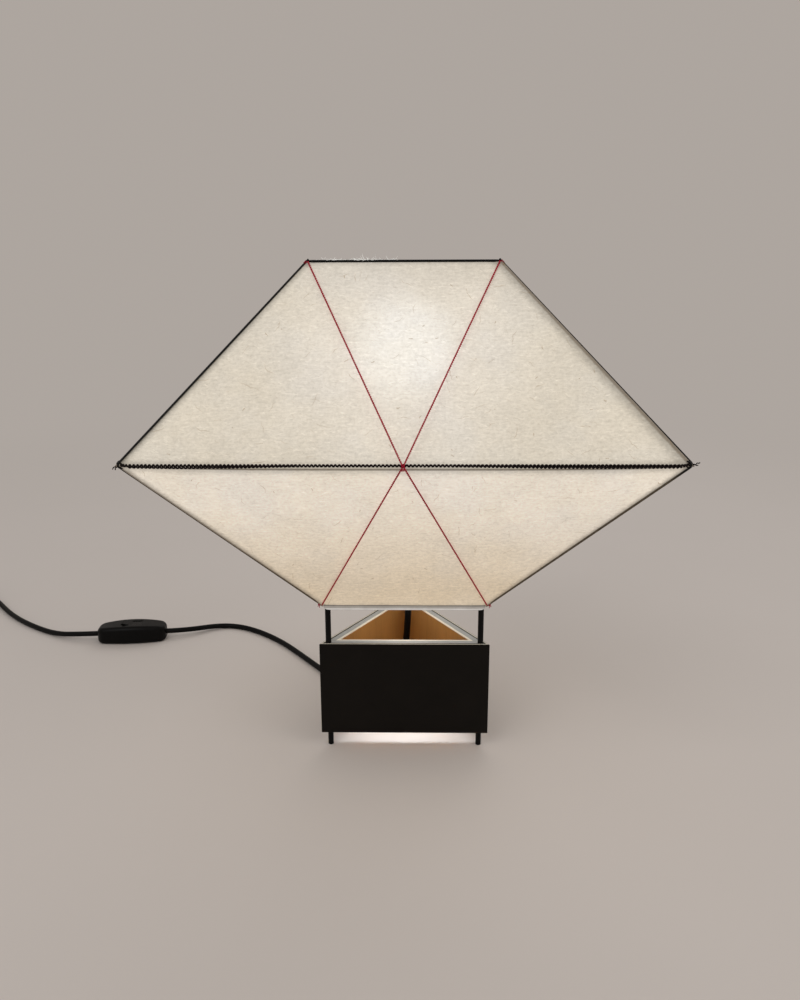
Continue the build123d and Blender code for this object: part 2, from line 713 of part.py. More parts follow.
def coil_station(angle):
    """Point and direction on the coil: it spirals in low and out again high."""
    half = coil_sweep / 2
    growth = COIL_PITCH / (2 * pi)
    radius = coil_inner + growth * abs(angle - half)
    climb = min(max((angle - half) / pi + 0.5, 0), 1)
    height = coil_low + (coil_high - coil_low) * (1 - cos(pi * climb)) / 2
    steepness = (coil_high - coil_low) * sin(pi * climb) / 2
    ends = (0, half, coil_sweep)
    opening = 0 if any(abs(angle - e) < 1e-6 for e in ends) else growth * (1 if angle > half else -1)
    azimuth = radians(COIL_HEADING - 90) + angle
    outward = Vector(cos(azimuth), sin(azimuth), 0)
    onward = Vector(-sin(azimuth), cos(azimuth), 0)
    point = Vector(*coil_centre) + outward * radius + Vector(0, 0, height)
    return point, (outward * opening + onward * radius + Vector(0, 0, steepness)).normalized()


def cord_coil():
    """The put-away length: one unbroken lead in two layers of turns."""
    count = 2 * round(COIL_TURNS * STATIONS_PER_TURN / 2)
    stations = [coil_station(coil_sweep * i / count) for i in range(count + 1)]
    turns = turns_through(stations)
    first_point, first_way = stations[0]
    last_point, last_way = stations[-1]
    path = Wire(
        [Edge.make_line(first_point - first_way * LEAD, first_point)]
        + turns
        + [Edge.make_line(last_point, last_point + last_way * COIL_TAIL)]
    )
    solid = tube(path, LEAD)
    share = solid.volume / (pi * LEAD**2 / 4 * path.length)
    print(f"coil: length {path.length:.0f} mm, volume {share:.4f} of section times length")
    print(f"coil: least gap to itself {least_gap(path, LEAD, 700):.2f} mm")
    return solid


def cord_tie():
    """Flat band round both layers of the coil."""
    azimuth = radians(TIE_ANGLE)
    first = (azimuth - radians(COIL_HEADING - 90)) % (2 * pi)
    passes = int((coil_sweep - first) / (2 * pi)) + 1
    crossings = [coil_station(first + 2 * pi * n)[0] for n in range(passes)]
    reaches = [hypot(p.X - coil_centre[0], p.Y - coil_centre[1]) for p in crossings]
    inside = LEAD / 2 + TIE_GAP
    near, far = min(reaches) - inside, max(reaches) + inside
    low, high = coil_low - inside, coil_high + inside
    plane = Plane(
        origin=(*coil_centre[:2], 0), x_dir=(cos(azimuth), sin(azimuth), 0),
        z_dir=(sin(azimuth), -cos(azimuth), 0),
    )
    middle = Pos((near + far) / 2, (low + high) / 2)
    room = RectangleRounded(far - near, high - low, TIE_THICKNESS)
    band = RectangleRounded(far - near + 2 * TIE_THICKNESS, high - low + 2 * TIE_THICKNESS, 2 * TIE_THICKNESS)
    return extrude(plane * (middle * (band - room)), TIE_WIDTH / 2, both=True)


def switch_plan():
    """Outline of the switch from above, with bowed sides and flat ends."""
    reach, wide, end = SWITCH_LENGTH / 2, SWITCH_WIDTH / 2, SWITCH_END_WIDTH / 2
    outline = make_face([
        ThreePointArc((-reach, -end), (0, -wide), (reach, -end)),
        Line((reach, -end), (reach, end)),
        ThreePointArc((reach, end), (0, wide), (-reach, end)),
        Line((-reach, end), (-reach, -end)),
    ])
    return fillet(outline.vertices(), SWITCH_CORNER)


def in_switch_place(shape):
    return Pos(*SWITCH_CENTRE, 0) * Rot(0, 0, SWITCH_HEADING) * shape


screw_places = [Pos(x, 0, 0) for x in (-SWITCH_SCREW_SPACING / 2, SWITCH_SCREW_SPACING / 2)]
screw_hole = SWITCH_SCREW / 2 + PIECE_GAP / 2
screw_head_bottom = FLOOR_GAP + SWITCH_SCREW_SINK
screw_head_top = screw_head_bottom + SWITCH_SCREW_HEAD_LENGTH


def switch_lower_case():
    """Lower half, with stepped holes for the screws."""
    case = extrude(switch_plan(), SWITCH_LOWER)
    case = Pos(0, 0, FLOOR_GAP) * fillet(case.edges().group_by(Axis.Z)[0], SWITCH_LOWER_ROUNDING)
    for place in screw_places:
        case -= place * Cylinder(SWITCH_SCREW_HEAD / 2 + PIECE_GAP, screw_head_top, align=upright)
        case -= place * Cylinder(screw_hole, 2 * SWITCH_LOWER, align=upright)
    return in_switch_place(case)


def switch_upper_case():
    """Arched upper half, with the rocker's window, its pivot's hole and blind holes for the screws."""
    reach, ends = SWITCH_LENGTH / 2, SWITCH_UPPER - SWITCH_CROWN
    arch = make_face([
        ThreePointArc((-reach, ends), (0, SWITCH_UPPER), (reach, ends)),
        Polyline((reach, ends), (reach, 0), (-reach, 0), (-reach, ends)),
    ])
    case = extrude(switch_plan(), SWITCH_UPPER) & extrude(Plane.XZ * arch, SWITCH_WIDTH, both=True)
    rim = case.faces().sort_by(Axis.Z)[-1].edges()
    case = Pos(0, 0, parting_line) * fillet(rim, SWITCH_UPPER_ROUNDING)
    window = Box(ROCKER_LENGTH + 2 * ROCKER_END_GAP, ROCKER_WIDTH + 2 * ROCKER_GAP, 3 * SWITCH_UPPER)
    case -= Pos(0, 0, parting_line) * window
    pivot_hole = Cylinder(PIVOT_PIN / 2 + PIVOT_FIT, PIVOT_LENGTH + 2 * PIECE_GAP)
    case -= Pos(0, 0, pivot_height) * Rot(90, 0, 0) * pivot_hole
    for place in screw_places:
        hole = Cylinder(screw_hole, SWITCH_SCREW_DEPTH, align=upright)
        case -= place * Pos(0, 0, parting_line) * hole
    return in_switch_place(case)


def switch_rocker():
    """Rocker with a shallow V on top, lying in its ON position."""
    reach = ROCKER_LENGTH / 2
    foot = reach - ROCKER_TAPER
    profile = Polyline(
        (-foot, -ROCKER_DEPTH), (foot, -ROCKER_DEPTH), (reach, ROCKER_TIPS), (0, ROCKER_DIP),
        (-reach, ROCKER_TIPS), close=True,
    )
    body = extrude(Plane.XZ * make_face(profile), ROCKER_WIDTH / 2, both=True)
    body -= Rot(90, 0, 0) * Cylinder(PIVOT_PIN / 2 + PIVOT_FIT, 2 * ROCKER_WIDTH)
    return in_switch_place(Pos(0, 0, pivot_height) * Rot(0, -ROCKER_SWING / 2, 0) * body)


def switch_pivot():
    """Pin that the rocker swings on."""
    pin = Rot(90, 0, 0) * Cylinder(PIVOT_PIN / 2, PIVOT_LENGTH)
    return in_switch_place(Pos(0, 0, pivot_height) * pin)


def switch_screws():
    """Two sunk screws that hold the halves of the case together."""
    tip = parting_line + SWITCH_SCREW_DEPTH - PIECE_GAP
    head = Cylinder(SWITCH_SCREW_HEAD / 2, SWITCH_SCREW_HEAD_LENGTH, align=upright)
    shank = Cylinder(SWITCH_SCREW / 2, tip - screw_head_bottom, align=upright)
    screw = Pos(0, 0, screw_head_bottom) * (head + shank)
    return in_switch_place(Compound(children=[place * screw for place in screw_places]))


def in_plug_place(shape):
    """Put a piece modelled along +X behind the end of the coil's tail."""
    point, way = coil_station(coil_sweep)
    end = point + way * COIL_TAIL
    return Plane(origin=end, x_dir=way, z_dir=(0, 0, 1)) * shape


def plug_relief():
    """Tapered sleeve behind the plug, with rings cut round it."""
    rear, front = LEAD / 2 + RELIEF_WALL, PLUG_REAR / 2
    step = RELIEF_LENGTH / (RELIEF_RIBS + 1)
    groove = step * GROOVE_SHARE
    points = [(0, 0), (rear, 0)]
    for ring in range(1, RELIEF_RIBS + 1):
        end = step * ring
        start = end - groove
        radius = rear + (front - rear) * start / RELIEF_LENGTH
        bottom = radius - RELIEF_GROOVE
        points += [(radius, start), (bottom, start), (bottom, end), (radius, end)]
    points += [(front, RELIEF_LENGTH), (0, RELIEF_LENGTH)]
    return in_plug_place(Rot(0, 90, 0) * turned(points))


plug_height = 2 * (coil_high - FLOOR_GAP)
pin_start = RELIEF_LENGTH + PLUG_LENGTH - PIN_ROOT
pin_sides = (-PIN_SPACING / 2, PIN_SPACING / 2)


def plug_body():
    """Moulded body that swells from the sleeve to a broad flat front."""
    sections = [
        (0, PLUG_REAR, PLUG_REAR),
        (PLUG_SHOULDER, PLUG_SHOULDER_WIDTH, plug_height * PLUG_SHOULDER_SHARE),
        (PLUG_FULL, PLUG_WIDTH, plug_height),
        (PLUG_LENGTH, PLUG_WIDTH, plug_height),
    ]
    outlines = []
    for x, width, tall in sections:
        plane = Plane(origin=(RELIEF_LENGTH + x, 0, 0), x_dir=(0, 1, 0), z_dir=(1, 0, 0))
        outlines.append(plane * RectangleRounded(width, tall, min(width, tall) * PLUG_ROUNDING))
    body = loft(outlines, ruled=True)
    socket = Cylinder(PIN_DIAMETER / 2 + PIN_FIT, 2 * PIN_ROOT, align=upright)
    for side in pin_sides:
        body -= Pos(pin_start, side, 0) * Rot(0, 90, 0) * socket
    return in_plug_place(body)


def plug_pins():
    """Two round pins, set in the plug's front."""
    pin = Cylinder(PIN_DIAMETER / 2, PIN_ROOT + PIN_LENGTH, align=upright)
    pin = fillet(pin.edges().group_by(Axis.Z)[-1], PIN_ROUNDING)
    pins = [Pos(pin_start, side, 0) * Rot(0, 90, 0) * pin for side in pin_sides]
    return in_plug_place(Compound(children=pins))


def assemble():
    """Every piece by its name."""
    nodes = {}
    for corner, azimuth in CORNERS.items():
        nodes[f"post_{corner}"] = Rot(0, 0, azimuth) * post()
    panel, cladding, strip, threads = base_panel(), base_cladding(), hem(), red_threads()
    upper_paper = paper(upper_half, upper_tip, upper_touch)
    lower_paper = paper(lower_half, lower_tip, lower_touch)
    for face, azimuth in FACES.items():
        turn = Rot(0, 0, azimuth)
        nodes[f"base_panel_{face}"] = turn * panel
        nodes[f"base_cladding_{face}"] = turn * cladding
        nodes[f"paper_upper_{face}"] = turn * upper_paper
        nodes[f"paper_lower_{face}"] = turn * lower_paper
        nodes[f"paper_hem_{face}"] = turn * strip
        nodes[f"red_threads_{face}"] = turn * threads
    bent_rib = rib()
    for corner, azimuth in CORNERS.items():
        nodes[f"rib_{corner}"] = Rot(0, 0, azimuth) * bent_rib
    nodes["hoop_top"] = wire_triangle(upper_half.inradius, hoop_corner, SHADE_TOP, HOOP_WIRE)
    nodes["hoop_bottom"] = wire_triangle(lower_half.inradius, hoop_corner, SHADE_BOTTOM, HOOP_WIRE)
    nodes["waist_cord"] = wire_triangle(cord_inradius, WAIST_BEND, WAIST_HEIGHT, WAIST_CORD)
    nodes["waist_knots"] = on_each_face(waist_knot())
    nodes["corner_ties_top"] = on_each_corner(corner_tie(upper_tip, upper_touch))
    nodes["corner_ties_bottom"] = on_each_corner(corner_tie(lower_tip, lower_touch))
    nodes["holder_bracket"] = holder_bracket()
    collar, set_screw = collar_and_screw()
    nodes["post_collars"] = on_each_corner(collar)
    nodes["collar_screws"] = on_each_corner(set_screw)
    pieces = (
        holder_body, holder_cap, clamp_ring, cord_grip, holder_insulator, thread_sleeve, centre_contact,
        bulb_glass, bulb_cap, bulb_insulator, bulb_contact,
        lamp_lead, plug_lead, cord_coil, cord_tie,
        switch_lower_case, switch_upper_case, switch_rocker, switch_pivot, switch_screws,
        plug_relief, plug_body, plug_pins,
    )
    for piece in pieces:
        nodes[piece.__name__] = piece()
    return nodes


def main():
    os.makedirs("parts", exist_ok=True)
    for name, shape in assemble().items():
        export_step(shape, f"parts/{name}.step")


main()
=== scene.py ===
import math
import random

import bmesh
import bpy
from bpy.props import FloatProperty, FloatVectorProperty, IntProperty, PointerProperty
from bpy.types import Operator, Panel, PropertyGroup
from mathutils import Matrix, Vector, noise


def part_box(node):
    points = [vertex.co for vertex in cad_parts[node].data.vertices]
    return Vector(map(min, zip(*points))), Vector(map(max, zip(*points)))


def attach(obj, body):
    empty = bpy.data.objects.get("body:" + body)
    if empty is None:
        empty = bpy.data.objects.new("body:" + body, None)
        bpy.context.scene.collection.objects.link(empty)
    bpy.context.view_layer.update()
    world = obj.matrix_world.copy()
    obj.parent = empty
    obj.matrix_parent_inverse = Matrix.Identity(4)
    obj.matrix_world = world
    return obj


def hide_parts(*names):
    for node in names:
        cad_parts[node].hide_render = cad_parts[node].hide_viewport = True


bl_info = {
    "name": "Paper Table Lamp",
    "version": (1, 0, 0),
    "blender": (4, 5, 0),
    "location": "3D View > Sidebar > Lamp",
    "description": "Dresses a three-sided paper table lamp: paper, rope, thread, lacquer and lead",
    "category": "Object",
}

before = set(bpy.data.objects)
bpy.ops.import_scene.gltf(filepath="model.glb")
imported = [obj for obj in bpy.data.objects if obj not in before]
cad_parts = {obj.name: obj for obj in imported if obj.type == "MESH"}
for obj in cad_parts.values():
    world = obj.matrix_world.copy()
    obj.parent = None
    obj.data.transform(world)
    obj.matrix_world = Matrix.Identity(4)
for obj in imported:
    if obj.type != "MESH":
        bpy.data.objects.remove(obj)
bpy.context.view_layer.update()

MM = 0.001
ROOT_3 = math.sqrt(3)
X, Y, Z = 0, 1, 2
# Turn of each face from the front one, and azimuth of each corner, in degrees
FACES = {"front": 0, "right": 120, "left": 240}
CORNERS = {"left": 210, "right": 330, "back": 90}
HOOPS = {"upper": "hoop_top", "lower": "hoop_bottom"}
TIES = {"upper": "corner_ties_top", "lower": "corner_ties_bottom"}


def span(node, axis):
    """Lowest and highest value of a solid along one axis."""
    low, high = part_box(node)
    return low[axis], high[axis]


def middle(node, axis):
    return sum(span(node, axis)) / 2


def extent(node, axis):
    low, high = span(node, axis)
    return high - low


def towards(angle):
    """The level direction at an angle from +X."""
    return Vector((math.cos(angle), math.sin(angle), 0))


# Places and sizes of the solids that the dressing follows
HOOP_WIRE = extent("hoop_top", Z)
HOOP_HEIGHT = {half: middle(hoop, Z) for half, hoop in HOOPS.items()}
HOOP_INRADIUS = {half: -span(hoop, Y)[0] - HOOP_WIRE / 2 for half, hoop in HOOPS.items()}
HOOP_CORNER = {half: span(hoop, Y)[1] - HOOP_WIRE / 2 for half, hoop in HOOPS.items()}
ROPE = extent("waist_cord", Z)
ROPE_HEIGHT = middle("waist_cord", Z)
ROPE_INRADIUS = -span("waist_cord", Y)[0] - ROPE / 2
ROPE_BEND = 8.0 * MM
CREASE_INRADIUS = ROPE_INRADIUS - 2.8 * MM
CREASE_HEIGHT = ROPE_HEIGHT - 1.0 * MM
RIB_WIRE = 1.6 * MM
EYE_RADIUS = 2.5 * MM
EYE_REACH = span("rib_back", Y)[1] - RIB_WIRE / 2 - EYE_RADIUS
TIE_REACH = 1.5 * MM
TIE_RISE = 2.0 * MM
BOX_BOTTOM, BOX_TOP = span("base_panel_front", Z)
BOX_INNER = -span("base_panel_front", Y)[1]
BOX_OUTER = -span("base_cladding_front", Y)[0]
HEM_BOTTOM, HEM_TOP = span("paper_hem_front", Z)
HEM_HALF = span("paper_hem_front", X)[1]
HEM_BACK = span("paper_hem_front", Y)[1]

# Routes of the lead's two free stretches in mm, from the lamp holder and from the switch
LAMP_LEAD_ROUTE = [
    (0, 0, 212), (0, 0, 188), (2.2, -2.0, 160), (4.0, -3.8, 130), (2.2, -2.0, 96), (-0.6, 0.5, 60),
    (-2.0, 1.9, 31.2), (-6.6, 6.1, 18.2), (-14.3, 13.4, 8.4), (-24.1, 22.5, 3.1), (-44.5, 42.0, 3.1),
    (-72, 77.5, 3.1), (-108, 127, 3.1), (-149, 181, 3.1), (-193, 218, 3.1), (-228, 227, 3.1),
    (-265.8, 196.4, 9.0), (-287.7, 194.1, 9.0),
]
PLUG_LEAD_ROUTE = [
    (-366.3, 185.9, 9.0), (-388.2, 183.6, 9.0), (-424, 197, 3.1), (-466, 223, 3.1), (-508, 258, 3.1),
    (-553.2, 309.0, 4.4),
]
# The put-away turns of the lead, in mm and degrees
COIL_START = (-584.4, 337.1)
COIL_HEADING = 138.0
COIL_TURNS = 5 + 132 / 360
COIL_PITCH = 6.6
COIL_MEAN = 66.0
COIL_LOW = 4.4
COIL_LEAD_IN = 6.0
COIL_TAIL = 12.0
COIL_POINTS_PER_TURN = 24


def colour_prop(name, text, value):
    return FloatVectorProperty(
        name=name, description=text, subtype="COLOR", size=3, min=0, max=1, default=value
    )


def length_prop(name, text, value):
    return FloatProperty(name=name, description=text, subtype="DISTANCE", unit="LENGTH", min=0, default=value)


def amount_prop(name, text, value, least=0):
    return FloatProperty(name=name, description=text, min=least, default=value)


class ShadeSettings(PropertyGroup):
    paper: colour_prop("Paper", "Colour of the paper by daylight", (0.56, 0.52, 0.45))
    glow_near: colour_prop("Glow near", "Light through the paper close to the bulb", (0.57, 0.555, 0.53))
    glow_mid: colour_prop("Glow mid", "Light through the paper round there", (0.42, 0.385, 0.34))
    glow_far: colour_prop("Glow far", "Light through the paper far from the bulb", (0.34, 0.302, 0.245))
    glow_low: colour_prop("Glow low", "Light through the paper below the waist", (0.53, 0.480, 0.415))
    fibre: colour_prop("Fibres", "Colour of the bark fibres in the paper", (0.16, 0.10, 0.05))
    backlit_fibre: colour_prop("Backlit fibres", "Colour of fibres against the light", (0.17, 0.105, 0.04))
    thickness: length_prop("Thickness", "Thickness of a sheet", 0.4 * MM)
    ripple: length_prop("Ripple", "Depth of the paper's unevenness", 0.35 * MM)
    sag: length_prop("Sag", "How far the crease hangs below the rope at mid-span", 2.6 * MM)
    hem: colour_prop("Hem", "Colour of the hem strips", (0.56, 0.525, 0.48))
    fray_count: IntProperty(
        name="Frays", description="Loose fibres on the front sheet's top edge", min=0, default=170
    )


class CordageSettings(PropertyGroup):
    rope: colour_prop("Rope", "Colour of the waist rope", (0.006, 0.002, 0.002))
    thread: colour_prop("Thread", "Colour of the red thread", (0.42, 0.002, 0.026))
    rope_size: length_prop("Rope size", "Thickness of the waist rope", 2.8 * MM)
    rope_pitch: length_prop("Rope pitch", "Length of one turn of the rope's winding", 2.9 * MM)
    thread_size: length_prop("Thread size", "Thickness of the red thread", 1.6 * MM)
    thread_pitch: length_prop("Thread pitch", "Length of one turn of the thread's two strands", 3.6 * MM)


class BoxSettings(PropertyGroup):
    lacquer: colour_prop("Lacquer", "Colour of the black sheets", (0.0052, 0.0040, 0.0030))
    timber: colour_prop("Timber", "Colour of the panels inside", (0.40, 0.200, 0.056))
    edge: colour_prop("Edge", "Colour of the panels' upper edges", (0.40, 0.41, 0.41))
    steel: colour_prop("Steel", "Colour of the lacquered bars", (0.0028, 0.0026, 0.0026))


class LeadSettings(PropertyGroup):
    size: length_prop("Size", "Thickness of the mains lead", 6.0 * MM)
    sheath: colour_prop("Sheath", "Colour of the lead", (0.0026, 0.0025, 0.0025))
    moulding: colour_prop("Moulding", "Colour of the switch and the plug", (0.0026, 0.0025, 0.0025))


class StageSettings(PropertyGroup):
    floor: colour_prop("Floor", "Colour of the floor", (0.635, 0.575, 0.535))
    backdrop: colour_prop("Backdrop", "Colour that the floor turns into", (0.420, 0.379, 0.347))
    reach: length_prop("Reach", "Radius of the floor", 9.0)
    fade_from: length_prop("Fade from", "Distance where the floor starts to turn into the backdrop", 0.45)
    fade_to: length_prop("Fade to", "Distance where only the backdrop is left", 2.3)
    world: amount_prop("World", "Strength of the light from all round", 0.50)
    key: amount_prop("Key", "Power of the large soft lamp", 14.0)
    inner: amount_prop("Inner", "Power of the light over the open box", 0.015)
    under: amount_prop("Under", "Power of the light inside the box, which shines on the floor", 0.043)
    lens: amount_prop("Lens", "Focal length of the camera in mm", 28.8, least=1)


class LampSettings(PropertyGroup):
    shade: PointerProperty(type=ShadeSettings)
    cordage: PointerProperty(type=CordageSettings)
    box: PointerProperty(type=BoxSettings)
    lead: PointerProperty(type=LeadSettings)
    stage: PointerProperty(type=StageSettings)


class Signal:
    """One output of a node, so that shader maths is written as plain expressions."""

    def __init__(self, nodes, socket):
        self.nodes = nodes
        self.socket = socket

    def join(self, operation, first, second):
        kind = "Math" if self.socket.type == "VALUE" else "VectorMath"
        return self.nodes.node(kind, {"operation": operation}, {0: first, 1: second})

    def __add__(self, other):
        return self.join("ADD", self, other)

    def __radd__(self, other):
        return self.join("ADD", other, self)

    def __sub__(self, other):
        return self.join("SUBTRACT", self, other)

    def __rsub__(self, other):
        return self.join("SUBTRACT", other, self)

    def __mul__(self, other):
        return self.join("MULTIPLY", self, other)

    def __rmul__(self, other):
        return self.join("MULTIPLY", other, self)

    def __abs__(self):
        return self.nodes.maths("ABSOLUTE", self)


class Nodes:
    """The nodes of a material or of the world."""

    def __init__(self, owner, kind):
        owner.use_nodes = True
        self.tree = owner.node_tree
        self.tree.nodes.clear()
        self.output = self.tree.nodes.new("ShaderNodeOutput" + kind)

    def show(self, shader):
        """Make a shader the one that is seen."""
        self.tree.links.new(shader.socket, self.output.inputs["Surface"])

    def feed_socket(self, socket, value):
        """Link a signal to a socket, or set its value; a colour may come without its fourth number."""
        if isinstance(value, Signal):
            self.tree.links.new(value.socket, socket)
        else:
            socket.default_value = (*value, 1) if socket.type == "RGBA" else value

    def node(self, kind, settings=None, inputs=None, output=0):
        """Add a node, set it up, feed its sockets and give back one of its outputs."""
        made = self.tree.nodes.new("ShaderNode" + kind)
        for key, value in (settings or {}).items():
            setattr(made, key, value)
        for key, value in (inputs or {}).items():
            self.feed_socket(made.inputs[key], value)
        return Signal(self, made.outputs[output])

    def split(self, vector):
        parts = self.node("SeparateXYZ", inputs={0: vector}).socket.node
        return [Signal(self, parts.outputs[i]) for i in range(3)]

    def maths(self, operation, *values):
        """A number from other numbers."""
        return self.node("Math", {"operation": operation}, dict(enumerate(values)))

    def largest(self, value, *others):
        for other in others:
            value = self.maths("MAXIMUM", value, other)
        return value

    def measure(self, operation, *vectors):
        """A number from vectors, such as a length."""
        return self.node("VectorMath", {"operation": operation}, dict(enumerate(vectors)), output="Value")


class Paint(Nodes):
    """A material under one main shader, with the nodes that feed it."""

    def __init__(self, name, **constants):
        self.material = bpy.data.materials.new(name)
        super().__init__(self.material, "Material")
        self.shader = self.node("BsdfPrincipled")
        self.show(self.shader)
        self.feed(**constants)

    def feed(self, **sockets):
        """Set or link sockets of the main shader: base_color stands for Base Color, and so on."""
        for socket in self.shader.socket.node.inputs:
            key = socket.name.lower().replace(" ", "_")
            if key in sockets:
                self.feed_socket(socket, sockets[key])

    def place(self):
        """Where a point of the surface is, in the lamp's own frame."""
        return self.node("TexCoord", output="Object")

    def height(self):
        """How high a point of the surface is above the table."""
        return self.split(self.place())[Z]

    def attribute(self, name):
        return self.node("Attribute", {"attribute_name": name}, output="Vector")

    def noise(self, size, detail=3.0, roughness=0.55, place=None, drawn=None):
        """Cloudy values about 0.5, with features of about the given size.

        They are drawn out along the axes whose number in drawn is small.
        """
        place = place or self.place()
        if drawn:
            place = place * drawn
        inputs = {"Vector": place, "Scale": 1 / size, "Detail": detail, "Roughness": roughness}
        return self.node("TexNoise", inputs=inputs)

    def fade(self, value, low, high):
        """0 below low, 1 above high and smooth between; low may be the larger."""
        inputs = {"Value": value, "From Min": low, "From Max": high}
        return self.node("MapRange", {"interpolation_type": "SMOOTHSTEP"}, inputs)

    def mix(self, share, first, second, blend="MIX"):
        """A colour between two others, or another blend of them."""
        settings = {"data_type": "RGBA", "clamp_factor": True, "blend_type": blend}
        return self.node("Mix", settings, {0: share, 6: first, 7: second}, output=2)

    def dyed(self, first, second):
        """The product of two colours."""
        return self.mix(1.0, first, second, "MULTIPLY")

    def tint(self, colour, value):
        """A colour made lighter or darker by a number."""
        return self.dyed(colour, self.node("CombineColor", inputs={0: value, 1: value, 2: value}))

    def relief(self, height, depth):
        """Bump from a height of 0 to 1, over a real depth."""
        inputs = {"Height": height, "Distance": depth, "Strength": 1.0}
        self.feed(normal=self.node("Bump", inputs=inputs))


def flecks(paint, place, cell, length, width, bend, share, spread):
    """Short curved hairs, one at most in each cell of a scattered pattern, as a mask.

    They lie at any angle where spread is 1, and nearly level where it is small.
    """
    settings = {"voronoi_dimensions": "2D"}
    cells = paint.node("TexVoronoi", settings, {"Vector": place, "Scale": 1 / cell}).socket.node
    colour = paint.node("SeparateColor", inputs={0: Signal(paint, cells.outputs["Color"])}).socket.node
    turn, curl, luck = [Signal(paint, colour.outputs[i]) for i in range(3)]
    local = place - Signal(paint, cells.outputs["Position"])
    x, y, _ = paint.split(local)
    angle = (turn - 0.5) * (math.tau * spread)
    cosine = paint.maths("COSINE", angle)
    sine = paint.maths("SINE", angle)
    along = x * cosine + y * sine
    across = y * cosine - x * sine + (curl - 0.5) * along * along * bend
    line = paint.fade(abs(across), width, width * 0.35)
    ends = paint.fade(abs(along), length * (0.4 + luck * 0.6), length * 0.25)
    return line * ends * paint.fade(luck, share, share * 0.9)


# Hairs in the paper: cell, half length and width in mm, bend, share of the cells, depth and spread.
# Those with a depth below 0 are pale.
HAIR_LAYERS = (
    (30, 11, 0.36, 70, 0.50, 0.36, 1.0),
    (23, 8, 0.34, 110, 0.50, 0.30, 0.5),
    (19, 3.4, 0.50, 160, 0.22, 0.50, 1.0),
    (33, 0.9, 0.60, 20, 0.16, 0.60, 1.0),
    (7, 3.4, 0.36, 200, 0.85, 0.13, 0.22),
    (9, 4.6, 0.42, 100, 0.85, -0.12, 0.15),
    (6, 2.8, 0.38, 160, 0.85, -0.10, 0.15),
)
# Height of the light inside, and how much of the lower half's glow is left at its hem
GLOW_HEIGHT = 319 * MM
HEM_GLOW = (0.70, 0.60, 0.46)


def paper_finish(name, shade, lower):
    """Handmade paper with bark fibres, with a painted glow of the light from inside, and painted shade and
    shadow lines along its wires and its crease.
    """
    paint = Paint(name, roughness=0.88, specular_ior_level=0.25, emission_strength=1.0)
    sheet = paint.attribute("sheet_place")
    to_rib, to_hoop, to_crease = paint.split(paint.attribute("rim_distance"))

    cloud = paint.noise(38 * MM, 4, place=sheet)
    patch = paint.noise(60 * MM, 3, place=sheet + (0.7, 0.3, 0))
    blotch = paint.noise(9 * MM, 3, place=sheet)
    mottle = paint.noise(2.6 * MM, 5, 0.72, sheet)
    laid = paint.noise(2.2 * MM, 4, 0.65, sheet, drawn=(0.30, 1.3, 1))
    wander = paint.node("TexNoise", inputs={"Vector": sheet, "Scale": 140.0, "Detail": 2.0}, output="Color")
    warped = sheet + paint.node("VectorMath", {"operation": "SCALE"}, {0: wander, "Scale": 5.0 * MM})
    hairs = pale = 0.0
    for number, (cell, reach, width, bend, share, depth, spread) in enumerate(HAIR_LAYERS):
        shifted = warped + (0.43 * number, 0.29 * number, 0)
        mask = flecks(paint, shifted, cell * MM, reach * MM, width * MM, bend, share, spread) * abs(depth)
        if depth > 0:
            hairs = mask + hairs
        else:
            pale = mask + pale

    # Painted shade on the paper lit from inside: soft shadows of the ribs and posts, the hoop and the crease,
    # and darker painted shadow lines right at the ribs and the crease.
    ragged = (paint.noise(4 * MM, 3, place=sheet) - 0.5) * (3.0 * MM)
    rib_shade = paint.fade(to_rib + ragged, 6.5 * MM, 0.2 * MM)
    rib_shadow_line = paint.fade(to_rib + ragged * 0.1, 1.7 * MM, 0.8 * MM)
    hoop_shade = paint.fade(to_hoop + ragged * 0.4, 4.5 * MM, 0.0)
    crease_shade = paint.fade(to_crease + ragged * 0.5, 8.0 * MM, 0.0)
    crease_shadow_line = paint.fade(to_crease, 0.8 * MM, 0.2 * MM)
    rims = 1 - (1 - rib_shade * 0.60) * (1 - hoop_shade * 0.28) * (1 - crease_shade * 0.30)
    shadow_lines = 1 - (1 - crease_shadow_line * 0.60) * (1 - rib_shadow_line * 0.55)

    uneven = (cloud - 0.5) * 0.22 + (blotch - 0.5) * 0.12 + (mottle - 0.5) * 0.52 + (laid - 0.5) * 0.36
    body = 0.95 + uneven + pale
    # The painted shade and shadow lines also darken the paper's own colour here.
    tone = paint.tint(shade.paper, body * (1 - rims * 0.45))
    inked = paint.mix(hairs * 0.8 + shadow_lines, tone, shade.fibre)
    # Painted glow of the light through the paper: rising from the hem below the waist, brightest round the
    # bulb above it and dimmer near the top hoop.
    if lower:
        share = paint.fade(to_hoop, 0, 150 * MM)
        glow = paint.mix(share, [c * d for c, d in zip(shade.glow_low, HEM_GLOW)], shade.glow_low)
    else:
        away = paint.measure("LENGTH", paint.place() - (0, 0, GLOW_HEIGHT))
        glow = paint.mix(paint.fade(away, 150 * MM, 96 * MM), shade.glow_far, shade.glow_mid)
        glow = paint.mix(paint.fade(away, 103 * MM, 86 * MM), glow, shade.glow_near)
        glow = paint.tint(glow, 0.80 + paint.fade(to_hoop, 0, 45 * MM) * 0.20)
    cast = paint.mix(paint.fade(patch, 0.38, 0.64), (1.01, 0.995, 0.96), (0.99, 1.0, 1.02))
    # The painted glow is dimmed by the painted shade and shadow lines.
    glow = paint.dyed(paint.tint(glow, body * (1 - rims) * (1 - shadow_lines)), cast)
    paint.feed(base_color=inked, emission_color=paint.mix(hairs, glow, shade.backlit_fibre))
    paint.relief(mottle * 0.5 + laid * 0.3 + hairs * 0.6 + pale, 0.25 * MM)
    return paint.material


